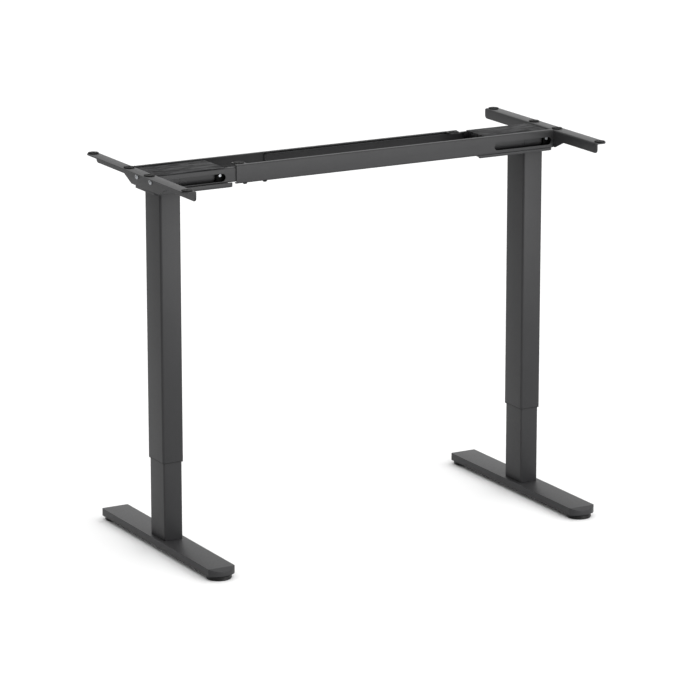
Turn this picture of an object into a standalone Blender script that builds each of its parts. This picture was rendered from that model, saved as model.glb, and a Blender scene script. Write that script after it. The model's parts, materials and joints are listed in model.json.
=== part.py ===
"""Two-column electric frame of a height adjustable standing desk, without a desktop.

Metres, +Z up. The origin is on the floor, midway between the columns. +X runs along the frame,
-Y is the front. Each half is modelled in its own column frame, whose Z axis is the column's axis
and whose +X points at the other half. The right half is the left one turned half a turn about Z.
"""

import math

import bmesh
import bpy
from mathutils import Matrix

# --- driving sizes ---------------------------------------------------------------------------

LEG_SPACING = 1.000  # between the two column axes

# fits
TOUCH_GAP = 0.0003  # between pieces that touch
SLIDE_GAP = 0.0003  # between a plastic bush and the tube it slides on
BOLT_GAP = 0.0003  # round a bolt in its hole
SCREW_GAP = 0.0002  # round the lead screw in its nut
RAIL_RUN_GAP = 0.0008  # between a short rail's web and the long rail it slides in
RAIL_END_GAP = 0.0105  # between a long rail's free end and the other half's saddle

# levelling glide
GLIDE_RADIUS = 0.0305
GLIDE_HEIGHT = 0.0095
GLIDE_EDGE = 0.0022
GLIDE_STUD_RADIUS = 0.005
GLIDE_STUD_TOP_GAP = 0.002  # below the foot's top sheet
GLIDE_END_SETBACK = 0.0295  # from the tip of the foot's nose to the glide's axis

# foot
FOOT_LIFT = 0.001  # of the foot above the glide's pad
FOOT_LENGTH = 0.598
FOOT_WIDTH = 0.070
FOOT_HEIGHT = 0.0185
FOOT_WALL = 0.0025
FOOT_CORNER_RADIUS = 0.006
FOOT_NOSE_TURN = math.radians(46)  # how far round a corner goes before the nose's wide arc starts
FOOT_SLOPE_LENGTH = 0.0145  # of the sloped end of the top
FOOT_SLOPE_DROP = 0.0070
FOOT_BOSS_RADIUS = 0.011

# lower, inner column and what stands in it
INNER_LENGTH = 0.660
INNER_WALL = 0.002
BASE_PLATE_THICKNESS = 0.004
NUT_TUBE_WALL = 0.0025
NUT_TUBE_SHORTER = 0.054  # than the inner tube
NUT_FLANGE_CLEARANCE = 0.0044  # to the inner tube's wall
NUT_FLANGE_LEDGE = 0.002  # outside the nut tube
NUT_FLANGE_HEIGHT = 0.030
NUT_SPIGOT_LENGTH = 0.020
TOP_BUSH_LENGTH = 0.040
TOP_BUSH_CAP = 0.0035
TOP_BUSH_LAP = 0.0045  # how far the cap reaches over the inner tube's wall
TOP_BUSH_WINDOW_RADIUS = 0.003

# upper, outer column
EXPOSED_INNER = 0.1925  # inner column in sight below the outer one
OUTER_LENGTH = 0.6588
OUTER_WIDTH = 0.055  # along X
OUTER_DEPTH = 0.080  # along Y
OUTER_WALL = 0.0015
COLUMN_GAP = 0.0016  # between the two tubes, which the bushes fill
OUTER_CORNER_RADIUS = 0.0055
LOW_BUSH_LENGTH = 0.040
LOW_BUSH_RIM = 0.0012

# lead screw and drive
LEAD_SCREW_RADIUS = 0.008
LEAD_SCREW_LENGTH = 0.538
GEARBOX_LENGTH = 0.050  # along X
GEARBOX_SOCKET = 0.016  # how deep the lead screw goes into it
DRIVE_DEPTH = 0.080  # along Y, of the gearbox and the motor's housing
DRIVE_EDGE_RADIUS = 0.0165
DRIVE_TOP_GAP = 0.0013  # between the drive and the cover
MOTOR_LENGTH = 0.092
MOTOR_END_LENGTH = 0.008  # of the housing's stepped end
MOTOR_END_INSET = 0.0025

# head saddle
SADDLE_PLATE = 0.003
SADDLE_OUTSIDE_SHORT_RAIL = 0.0017
SADDLE_LENGTH = 0.2017  # on the short rail's side
SADDLE_EXTRA_LENGTH = 0.012  # more on the long rail's side
SADDLE_STRIP_BELOW = 0.0033
SADDLE_CORNER_RADIUS = 0.012  # seen from above, at the bracket's end
SADDLE_STRIP_RADIUS = 0.003  # of the lower corner at each side's other end
END_PLATE_INSIDE_LIP = 0.0028  # from the short rail's lip to the end plate's edge
END_PLATE_BELOW_COVER = 0.0046

# rails
RAIL_SHEET = 0.0022
LONG_RAIL_HALF_GAUGE = 0.0588  # from the middle of the frame to the long rail's outer face
LONG_RAIL_HEIGHT = 0.0445
LONG_RAIL_LIP = 0.010
SHORT_RAIL_SETBACK = 0.300  # from its free end to the other half's column
SHORT_RAIL_PLAY_BELOW = 0.0023  # inside the other half's long rail
SHORT_RAIL_PLAY_ABOVE = 0.0025
SHORT_RAIL_LIP = 0.009
RAIL_SLOT_HEIGHT = 0.019
RAIL_SLOT_LIFT = 0.0135  # of the slot's middle above the short rail's underside
SHORT_SLOT_START = -0.012
SHORT_SLOT_END = 0.138
LONG_SLOT_SETBACK = 0.0065  # from the rail's end at the bracket
LONG_SLOT_END = 0.1237

# tab at a long rail's free end, with its rubber pad, and the lock screws below
TAB_LENGTH = 0.028
TAB_SETBACK = 0.0045
TAB_REACH = 0.0285  # inward from the lip's edge
TAB_PAD_FROM_EDGE = 0.0138  # inward from the lip's edge
LOCK_SCREW_SETBACKS = (0.025, 0.078)  # from the rail's free end
LOCK_SCREW_INSET = 0.0058  # from the long rail's outer face
LOCK_SCREW_RADIUS = 0.0025
LOCK_HEAD_RADIUS = 0.0055
LOCK_HEAD_HEIGHT = 0.0028

# motor cover
COVER_SHEET = 0.0012
COVER_SETBACK = 0.0025  # from the rails' ends at the bracket
COVER_END = 0.136  # inboard end, from the column's axis
COVER_FLAP_GAP = 0.0005  # between the turned-down end and the saddle
COVER_TAB_LENGTH = 0.018
COVER_TAB_PAST_END = 0.012  # more of the near tab, past the turned-down end
COVER_FAR_TAB_SETBACK = 0.0054  # from the rail's end at the bracket
COVER_TAB_DROP = 0.036
COVER_TAB_GAP = 0.0005  # between a tab and the short rail's lip
COVER_SCREW_DROP = 0.0193  # below the cover's top
COVER_SCREW_RADIUS = 0.0021
COVER_SCREW_LENGTH = 0.005
COVER_HEAD_RADIUS = 0.0042
COVER_HEAD_HEIGHT = 0.002

# side bracket
BRACKET_LENGTH = 0.518
BRACKET_SHIFT = -0.007  # of its middle along Y, towards the short rail
BRACKET_SHEET = 0.003
BRACKET_FLANGE = 0.033
BRACKET_FLANGE_RADIUS = 0.016
BRACKET_FROM_GEARBOX = 0.022  # from the gearbox to the web, for the bolts' ends
BRACKET_WEB_DEPTH = 0.025
BRACKET_DEEP_DEPTH = 0.0425
BRACKET_DEEP_TOP_HALF = 0.109
BRACKET_DEEP_BOTTOM_HALF = 0.071
BRACKET_CORNER_RADIUS = 0.009
BRACKET_BELOW_RAIL_TOP = 0.001
BRACKET_BOLT_FROM_EDGE = 0.0085  # of the saddle's end plate
BRACKET_BOLT_SHIFT = -0.003  # of both along Y
BRACKET_BOLT_DROP = 0.020  # below the flange's top
BOLT_RADIUS = 0.004
BOLT_PAST_PLATE = 0.0114  # beyond the saddle's end plate
BOLT_HEAD_RADIUS = 0.0068
BOLT_HEAD_HEIGHT = 0.003

# rubber pads under the desktop
PAD_RADIUS = 0.013
PAD_HEIGHT = 0.0022  # above the bracket's flange
PAD_BORE = 0.0024
PAD_STEM_RADIUS = 0.0042
PAD_STEM_BELOW = 0.0018  # how far the stem comes out below the sheet
PAD_INNER_ROW = 0.053  # from the bracket's middle
PAD_END_SETBACK = 0.0135  # from the bracket's end
PAD_FROM_WEB = 0.017  # from the web's inboard face

CORNER_STEPS = 3
ROUND_STEPS = 20
GLIDE_STEPS = 24
SMALL_ROUND_STEPS = 12
CUT_PAST = 0.005  # how far a cutter runs past the face it cuts

# --- sizes that follow -------------------------------------------------------------------------

FOOT_BOTTOM = GLIDE_HEIGHT + FOOT_LIFT
FOOT_TOP = FOOT_BOTTOM + FOOT_HEIGHT
GLIDE_Y = FOOT_LENGTH / 2 - GLIDE_END_SETBACK
GLIDE_STUD_TOP = FOOT_TOP - FOOT_WALL - GLIDE_STUD_TOP_GAP

INNER_BOTTOM = FOOT_TOP + TOUCH_GAP
INNER_TOP = INNER_BOTTOM + INNER_LENGTH
TUBE_STEP = OUTER_WALL + COLUMN_GAP
INNER_WIDTH = OUTER_WIDTH - 2 * TUBE_STEP
INNER_DEPTH = OUTER_DEPTH - 2 * TUBE_STEP
INNER_CORNER_RADIUS = OUTER_CORNER_RADIUS - TUBE_STEP / 2
NUT_TUBE_BOTTOM = INNER_BOTTOM + BASE_PLATE_THICKNESS + TOUCH_GAP
NUT_TUBE_TOP = NUT_TUBE_BOTTOM + INNER_LENGTH - NUT_TUBE_SHORTER
NUT_FLANGE_RADIUS = INNER_WIDTH / 2 - INNER_WALL - NUT_FLANGE_CLEARANCE
NUT_TUBE_RADIUS = NUT_FLANGE_RADIUS - NUT_FLANGE_LEDGE

OUTER_BOTTOM = FOOT_TOP + EXPOSED_INNER + LOW_BUSH_RIM + TOUCH_GAP
OUTER_TOP = OUTER_BOTTOM + OUTER_LENGTH

SADDLE_UNDER = OUTER_TOP + TOUCH_GAP  # underside of the saddle's plate
SADDLE_OVER = SADDLE_UNDER + SADDLE_PLATE
STRIP_TOP = SADDLE_OVER + RAIL_SHEET + SHORT_RAIL_PLAY_BELOW
STRIP_BOTTOM = SADDLE_UNDER - SADDLE_STRIP_BELOW
DRIVE_BOTTOM = SADDLE_OVER + TOUCH_GAP
SCREW_TOP = DRIVE_BOTTOM + GEARBOX_SOCKET - TOUCH_GAP

BRACKET_FACE = GEARBOX_LENGTH / 2 + BRACKET_FROM_GEARBOX  # from the column's axis
RAIL_START = -BRACKET_FACE + TOUCH_GAP
LONG_RAIL_BOTTOM = SADDLE_OVER + TOUCH_GAP
LONG_RAIL_TOP = LONG_RAIL_BOTTOM + LONG_RAIL_HEIGHT
LONG_LIP_EDGE = LONG_RAIL_HALF_GAUGE - LONG_RAIL_LIP
SHORT_RAIL_BOTTOM = STRIP_TOP + TOUCH_GAP
SHORT_RAIL_TOP = LONG_RAIL_TOP - RAIL_SHEET - SHORT_RAIL_PLAY_ABOVE
SHORT_RAIL_HALF_GAUGE = LONG_RAIL_HALF_GAUGE - RAIL_SHEET - RAIL_RUN_GAP
SHORT_LIP_EDGE = SHORT_RAIL_HALF_GAUGE - SHORT_RAIL_LIP
SADDLE_HALF_WIDTH = SHORT_RAIL_HALF_GAUGE + SADDLE_OUTSIDE_SHORT_RAIL
SADDLE_END = RAIL_START + SADDLE_LENGTH
SADDLE_FAR_END = SADDLE_END + SADDLE_EXTRA_LENGTH
LONG_RAIL_END = LEG_SPACING - SADDLE_END - RAIL_END_GAP
SHORT_RAIL_END = LEG_SPACING - SHORT_RAIL_SETBACK
SLOT_Z = SHORT_RAIL_BOTTOM + RAIL_SLOT_LIFT
LONG_SLOT_START = RAIL_START + LONG_SLOT_SETBACK

COVER_BOTTOM = SHORT_RAIL_TOP + TOUCH_GAP
COVER_TOP = COVER_BOTTOM + COVER_SHEET
COVER_SCREW_Z = COVER_TOP - COVER_SCREW_DROP
COVER_TAB_Y = SHORT_LIP_EDGE - COVER_TAB_GAP
COVER_FAR_TAB_START = RAIL_START + COVER_FAR_TAB_SETBACK

COVER_FLAP_BOTTOM = SADDLE_OVER + COVER_FLAP_GAP

DRIVE_HEIGHT = COVER_BOTTOM - DRIVE_TOP_GAP - DRIVE_BOTTOM
DRIVE_Z = DRIVE_BOTTOM + DRIVE_HEIGHT / 2
MOTOR_START = GEARBOX_LENGTH / 2 + TOUCH_GAP
MOTOR_STEP_X = MOTOR_START + MOTOR_LENGTH

END_PLATE_HALF_WIDTH = SHORT_LIP_EDGE - END_PLATE_INSIDE_LIP
END_PLATE_TOP = COVER_BOTTOM - END_PLATE_BELOW_COVER

FLANGE_TOP = LONG_RAIL_TOP - BRACKET_BELOW_RAIL_TOP
FLANGE_BOTTOM = FLANGE_TOP - BRACKET_SHEET
PAD_TOP = FLANGE_TOP + TOUCH_GAP + PAD_HEIGHT
WEB_OUTER_X = -BRACKET_FACE - BRACKET_SHEET
BOLT_Z = FLANGE_TOP - BRACKET_BOLT_DROP
BOLT_HALF_SPACING = END_PLATE_HALF_WIDTH - BRACKET_BOLT_FROM_EDGE
BOLT_ROWS = (BRACKET_BOLT_SHIFT - BOLT_HALF_SPACING, BRACKET_BOLT_SHIFT + BOLT_HALF_SPACING)
BOLT_LENGTH = 2 * TOUCH_GAP + BRACKET_SHEET + SADDLE_PLATE + BOLT_PAST_PLATE
PAD_END_ROW = BRACKET_LENGTH / 2 - PAD_END_SETBACK
PAD_ROWS = (-PAD_END_ROW, -PAD_INNER_ROW, PAD_INNER_ROW, PAD_END_ROW)
TAB_END = LONG_RAIL_END - TAB_SETBACK
TAB_START = TAB_END - TAB_LENGTH


# --- helpers -----------------------------------------------------------------------------------

# each entry turns an outline's own plane so that its extrusion runs along the named axis:
# along X the outline is (Y, Z), along Y it is (Z, X), along Z it is (X, Y)
AXIS_TURNS = {
    "X": Matrix(((0, 0, 1), (1, 0, 0), (0, 1, 0))).to_4x4(),
    "Y": Matrix(((0, 1, 0), (0, 0, 1), (1, 0, 0))).to_4x4(),
    "Z": Matrix.Identity(4),
}


def clear_scene():
    for obj in list(bpy.data.objects):
        bpy.data.objects.remove(obj)


def new_collection(name):
    collection = bpy.data.collections.new(name)
    bpy.context.scene.collection.children.link(collection)
    return collection


def material(name, color, roughness, metallic):
    made = bpy.data.materials.new(name)
    made.use_nodes = True
    shader = made.node_tree.nodes["Principled BSDF"]
    shader.inputs["Base Color"].default_value = (*color, 1.0)
    shader.inputs["Roughness"].default_value = roughness
    shader.inputs["Metallic"].default_value = metallic
    return made


def arc(centre, radius, start, end, steps):
    """Points on an arc, both ends included."""
    points = []
    for step in range(steps + 1):
        angle = start + (end - start) * step / steps
        points.append((centre[0] + radius * math.cos(angle), centre[1] + radius * math.sin(angle)))
    return points


def box_outline(low_u, high_u, low_v, high_v):
    return [(low_u, low_v), (high_u, low_v), (high_u, high_v), (low_u, high_v)]


def rounded_outline(width, depth, radius):
    """A rectangle about the origin with round corners."""
    points = []
    for corner, (side_u, side_v) in enumerate(((1, 1), (-1, 1), (-1, -1), (1, -1))):
        centre = (side_u * (width / 2 - radius), side_v * (depth / 2 - radius))
        start = corner * math.pi / 2
        points += arc(centre, radius, start, start + math.pi / 2, CORNER_STEPS)
    return points


def slot_outline(low_x, high_x, middle_z, height):
    """A slot with round ends in the (Z, X) plane."""
    radius = height / 2
    high_end = arc((middle_z, high_x - radius), radius, 0, math.pi, 2 * CORNER_STEPS)
    low_end = arc((middle_z, low_x + radius), radius, math.pi, 2 * math.pi, 2 * CORNER_STEPS)
    return high_end + low_end


def place(obj, home, parent):
    home.objects.link(obj)
    obj.parent = parent
    return obj


def extruded(name, outlines, axis, start, end, home, parent):
    """Closed outlines, the later ones being holes, drawn from start to end along an axis."""
    curve = bpy.data.curves.new(name, "CURVE")
    curve.dimensions = "2D"
    curve.fill_mode = "BOTH"
    curve.extrude = (end - start) / 2
    for outline in outlines:
        spline = curve.splines.new("POLY")
        spline.points.add(len(outline) - 1)
        spline.use_cyclic_u = True
        for point, (u, v) in zip(spline.points, outline):
            point.co = (u, v, 0, 1)
    drawn = bpy.data.objects.new(name + "_outline", curve)
    bpy.context.scene.collection.objects.link(drawn)
    graph = bpy.context.evaluated_depsgraph_get()
    mesh = bpy.data.meshes.new_from_object(drawn.evaluated_get(graph))
    mesh.name = name
    bpy.data.objects.remove(drawn)
    work = bmesh.new()
    work.from_mesh(mesh)
    bmesh.ops.remove_doubles(work, verts=work.verts, dist=0.000001)
    bmesh.ops.translate(work, verts=work.verts, vec=(0, 0, (start + end) / 2))
    bmesh.ops.transform(work, matrix=AXIS_TURNS[axis], verts=work.verts)
    bmesh.ops.recalc_face_normals(work, faces=work.faces)
    work.to_mesh(mesh)
    work.free()
    return place(bpy.data.objects.new(name, mesh), home, parent)


def box(name, low, high, home, parent):
    outline = box_outline(low[0], high[0], low[1], high[1])
    return extruded(name, [outline], "Z", low[2], high[2], home, parent)


def rod(name, radius, axis, centre, start, end, home, parent, steps=ROUND_STEPS):
    """A round bar along an axis; centre is its place in the plane of that axis's outlines."""
    work = bmesh.new()
    bmesh.ops.create_cone(
        work, cap_ends=True, segments=steps, radius1=radius, radius2=radius, depth=end - start
    )
    bmesh.ops.translate(work, verts=work.verts, vec=(centre[0], centre[1], (start + end) / 2))
    bmesh.ops.transform(work, matrix=AXIS_TURNS[axis], verts=work.verts)
    mesh = bpy.data.meshes.new(name)
    work.to_mesh(mesh)
    work.free()
    return place(bpy.data.objects.new(name, mesh), home, parent)


def turned(name, profile, closed, home, parent, steps=ROUND_STEPS):
    """A profile of (radius, z) points, down its outer side, turned about the object's Z axis."""
    work = bmesh.new()
    verts = [work.verts.new((radius, 0, z)) for radius, z in profile]
    for first, second in zip(verts, verts[1:]):
        work.edges.new((first, second))
    if closed:
        work.edges.new((verts[-1], verts[0]))
    mesh = bpy.data.meshes.new(name)
    work.to_mesh(mesh)
    work.free()
    obj = place(bpy.data.objects.new(name, mesh), home, parent)
    screw = obj.modifiers.new("turn", "SCREW")
    screw.steps = steps
    screw.render_steps = steps
    screw.use_merge_vertices = True
    screw.merge_threshold = 0.00001
    screw.use_smooth_shade = True
    return obj


def combine(obj, other, operation):
    boolean = obj.modifiers.new(other.name, "BOOLEAN")
    boolean.operation = operation
    boolean.solver = "EXACT"
    boolean.object = other
    other.hide_render = True
    other.display_type = "WIRE"
    return obj


def finish(obj, finish_material):
    obj.data.materials.clear()
    obj.data.materials.append(finish_material)
    return obj


# --- one half of the frame ---------------------------------------------------------------------


class Half:
    """What one half's functions share: its name, its homes and the frames its pieces move with."""

    def __init__(self, side, turn, parts, cutters, materials):
        self.side = side
        self.parts = parts
        self.cutters = cutters
        self.materials = materials
        self.turn = turn
        self.base = self.frame("base", 0)
        self.upper = self.frame("upper", OUTER_BOTTOM)

    def frame(self, name, height, x=0.0, y=0.0):
        """An empty on the axis that the named body moves along."""
        empty = bpy.data.objects.new(f"{self.side}_{name}_frame", None)
        self.parts.objects.link(empty)
        spin = Matrix.Rotation(self.turn, 4, "Z")
        column = spin @ Matrix.Translation((-LEG_SPACING / 2, 0, 0))
        empty.matrix_world = column @ Matrix.Translation((x, y, height))
        return empty

    def name(self, piece):
        return f"{self.side}_{piece}"


def in_frame(obj, height):
    """Moves an object drawn in the column frame into its parent's frame, which is that much up."""
    obj.location = (0, 0, -height)
    return obj


def make_foot(half):
    """Pressed steel foot: bowed nose, sloped top end, hollow below with a boss for each glide."""
    radius = FOOT_CORNER_RADIUS
    turn = FOOT_NOSE_TURN
    nose_radius = (FOOT_WIDTH / 2 - radius) / math.cos(turn) + radius
    nose_y = FOOT_LENGTH / 2 - nose_radius
    corner_y = nose_y + (nose_radius - radius) * math.sin(turn)
    corner_x = FOOT_WIDTH / 2 - radius
    outline = []
    for end in (1, -1):
        points = arc((corner_x, corner_y), radius, 0, turn, CORNER_STEPS)[:-1]
        points += arc((0, nose_y), nose_radius, turn, math.pi - turn, 2 * CORNER_STEPS)[:-1]
        points += arc((-corner_x, corner_y), radius, math.pi - turn, math.pi, CORNER_STEPS)
        outline += [(end * x, end * y) for x, y in points]
    foot = extruded(
        half.name("foot"), [outline], "Z", FOOT_BOTTOM, FOOT_TOP, half.parts, half.base
    )
    slope_y = FOOT_LENGTH / 2 - FOOT_SLOPE_LENGTH
    pocket_half = (FOOT_WIDTH / 2 - FOOT_WALL, slope_y - FOOT_WALL)
    pocket = box(
        half.name("foot_pocket"),
        (-pocket_half[0], -pocket_half[1], FOOT_BOTTOM - CUT_PAST),
        (pocket_half[0], pocket_half[1], FOOT_TOP - FOOT_WALL),
        half.cutters,
        half.base,
    )
    slope = FOOT_SLOPE_DROP / FOOT_SLOPE_LENGTH
    for end in (1, -1):
        label = "front" if end < 0 else "rear"
        boss = rod(
            half.name(f"foot_boss_{label}"), FOOT_BOSS_RADIUS, "Z", (0, end * GLIDE_Y),
            FOOT_BOTTOM - 2 * CUT_PAST, FOOT_TOP, half.cutters, half.base
        )
        combine(pocket, boss, "DIFFERENCE")
        past = FOOT_SLOPE_LENGTH + CUT_PAST
        wedge = [
            (end * slope_y, FOOT_TOP),
            (end * (slope_y + past), FOOT_TOP - past * slope),
            (end * (slope_y + past), FOOT_TOP + CUT_PAST),
            (end * slope_y, FOOT_TOP + CUT_PAST),
        ]
        nose_cut = extruded(
            half.name(f"foot_nose_cut_{label}"), [wedge], "X", -FOOT_WIDTH, FOOT_WIDTH,
            half.cutters, half.base
        )
        combine(foot, nose_cut, "DIFFERENCE")
    combine(foot, pocket, "DIFFERENCE")
    for end in (1, -1):
        label = "front" if end < 0 else "rear"
        hole = rod(
            half.name(f"foot_stud_hole_{label}"), GLIDE_STUD_RADIUS + BOLT_GAP, "Z",
            (0, end * GLIDE_Y), FOOT_BOTTOM - CUT_PAST, FOOT_TOP - FOOT_WALL,
            half.cutters, half.base
        )
        combine(foot, hole, "DIFFERENCE")
    finish(foot, half.materials["steel"])


def make_glides(half):
    """A levelling glide under each end of the foot: a round pad with its threaded stud."""
    profile = [
        (0, GLIDE_STUD_TOP),
        (GLIDE_STUD_RADIUS, GLIDE_STUD_TOP),
        (GLIDE_STUD_RADIUS, GLIDE_HEIGHT),
        (GLIDE_RADIUS - GLIDE_EDGE, GLIDE_HEIGHT),
        (GLIDE_RADIUS, GLIDE_HEIGHT - GLIDE_EDGE),
        (GLIDE_RADIUS, GLIDE_EDGE),
        (GLIDE_RADIUS - GLIDE_EDGE, 0),
        (0, 0),
    ]
    for end in (-1, 1):
        world_end = end * math.cos(half.turn)
        label = "front" if world_end < 0 else "rear"
        frame = half.frame(f"{label}_glide", 0, y=end * GLIDE_Y)
        glide = turned(half.name(f"{label}_glide"), profile, False, half.parts, frame, GLIDE_STEPS)
        finish(glide, half.materials["glide"])


def make_inner_column(half):
    """The lower tube, the plate it is bolted down by, and the nut on its tube inside."""
    shape = rounded_outline(INNER_WIDTH, INNER_DEPTH, INNER_CORNER_RADIUS)
    wall = INNER_WALL
    hollow = rounded_outline(
        INNER_WIDTH - 2 * wall, INNER_DEPTH - 2 * wall, INNER_CORNER_RADIUS - wall / 2
    )
    tube = extruded(
        half.name("inner_column"), [shape, hollow], "Z", INNER_BOTTOM, INNER_TOP,
        half.parts, half.base
    )
    finish(tube, half.materials["steel"])
    inset = 2 * (wall + TOUCH_GAP)
    plate = extruded(
        half.name("column_base"),
        [rounded_outline(INNER_WIDTH - inset, INNER_DEPTH - inset, INNER_CORNER_RADIUS)],
        "Z", INNER_BOTTOM, INNER_BOTTOM + BASE_PLATE_THICKNESS, half.parts, half.base
    )
    finish(plate, half.materials["steel"])
    nut_frame = half.frame("nut", 0)
    bore = NUT_TUBE_RADIUS - NUT_TUBE_WALL
    nut_tube = turned(
        half.name("nut_tube"),
        [
            (NUT_TUBE_RADIUS, NUT_TUBE_TOP),
            (NUT_TUBE_RADIUS, NUT_TUBE_BOTTOM),
            (bore, NUT_TUBE_BOTTOM),
            (bore, NUT_TUBE_TOP),
        ],
        True, half.parts, nut_frame
    )
    finish(nut_tube, half.materials["zinc"])
    flange_bottom = NUT_TUBE_TOP + TOUCH_GAP
    hole = LEAD_SCREW_RADIUS + SCREW_GAP
    nut = turned(
        half.name("screw_nut"),
        [
            (NUT_FLANGE_RADIUS, flange_bottom + NUT_FLANGE_HEIGHT),
            (NUT_FLANGE_RADIUS, flange_bottom),
            (bore - TOUCH_GAP, flange_bottom),
            (bore - TOUCH_GAP, flange_bottom - NUT_SPIGOT_LENGTH),
            (hole, flange_bottom - NUT_SPIGOT_LENGTH),
            (hole, flange_bottom + NUT_FLANGE_HEIGHT),
        ],
        True, half.parts, nut_frame
    )
    finish(nut, half.materials["nylon"])


def make_bushes(half):
    """Plastic bushes: one capped over the inner tube's top, one in the outer tube's mouth."""
    bore_width = OUTER_WIDTH - 2 * OUTER_WALL
    bore_depth = OUTER_DEPTH - 2 * OUTER_WALL
    bore_radius = OUTER_CORNER_RADIUS - OUTER_WALL / 2
    outside = rounded_outline(
        bore_width - 2 * SLIDE_GAP, bore_depth - 2 * SLIDE_GAP, bore_radius
    )
    inside = rounded_outline(
        INNER_WIDTH + 2 * SLIDE_GAP, INNER_DEPTH + 2 * SLIDE_GAP, INNER_CORNER_RADIUS
    )
    top = INNER_TOP + TOUCH_GAP + TOP_BUSH_CAP
    top_bush = extruded(
        half.name("top_bush"), [outside], "Z", INNER_TOP - TOP_BUSH_LENGTH, top,
        half.parts, half.base
    )
    skirt = extruded(
        half.name("top_bush_skirt_cut"), [inside], "Z",
        INNER_TOP - TOP_BUSH_LENGTH - CUT_PAST, INNER_TOP + TOUCH_GAP, half.cutters, half.base
    )
    combine(top_bush, skirt, "DIFFERENCE")
    window = extruded(
        half.name("top_bush_window"),
        [rounded_outline(
            INNER_WIDTH - 2 * TOP_BUSH_LAP, INNER_DEPTH - 2 * TOP_BUSH_LAP, TOP_BUSH_WINDOW_RADIUS
        )],
        "Z", INNER_TOP - CUT_PAST, top + CUT_PAST, half.cutters, half.base
    )
    combine(top_bush, window, "DIFFERENCE")
    finish(top_bush, half.materials["nylon"])
    rim = rounded_outline(OUTER_WIDTH, OUTER_DEPTH, OUTER_CORNER_RADIUS)
    rim_top = OUTER_BOTTOM - TOUCH_GAP
    low_bush = extruded(
        half.name("mouth_bush"), [outside, inside], "Z", rim_top - LOW_BUSH_RIM,
        OUTER_BOTTOM + LOW_BUSH_LENGTH, half.parts, half.upper
    )
    in_frame(low_bush, OUTER_BOTTOM)
    collar = extruded(
        half.name("mouth_bush_rim"), [rim, inside], "Z", rim_top - LOW_BUSH_RIM, rim_top,
        half.cutters, half.upper
    )
    in_frame(collar, OUTER_BOTTOM)
    combine(low_bush, collar, "UNION")
    finish(low_bush, half.materials["nylon"])


def make_outer_column(half):
    shape = rounded_outline(OUTER_WIDTH, OUTER_DEPTH, OUTER_CORNER_RADIUS)
    hollow = rounded_outline(
        OUTER_WIDTH - 2 * OUTER_WALL, OUTER_DEPTH - 2 * OUTER_WALL,
        OUTER_CORNER_RADIUS - OUTER_WALL / 2
    )
    tube = extruded(
        half.name("outer_column"), [shape, hollow], "Z", OUTER_BOTTOM, OUTER_TOP,
        half.parts, half.upper
    )
    finish(in_frame(tube, OUTER_BOTTOM), half.materials["steel"])


def saddle_outline(inset, end):
    """The tray seen from above, with round corners at the bracket's end."""
    radius = SADDLE_CORNER_RADIUS
    start = RAIL_START + radius
    side = SADDLE_HALF_WIDTH - radius
    near = arc((start, side), radius - inset, math.pi / 2, math.pi, 2 * CORNER_STEPS)
    far = arc((start, -side), radius - inset, math.pi, 1.5 * math.pi, 2 * CORNER_STEPS)
    half_width = SADDLE_HALF_WIDTH - inset
    return near + far + [(end, -half_width), (end, half_width)]


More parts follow.
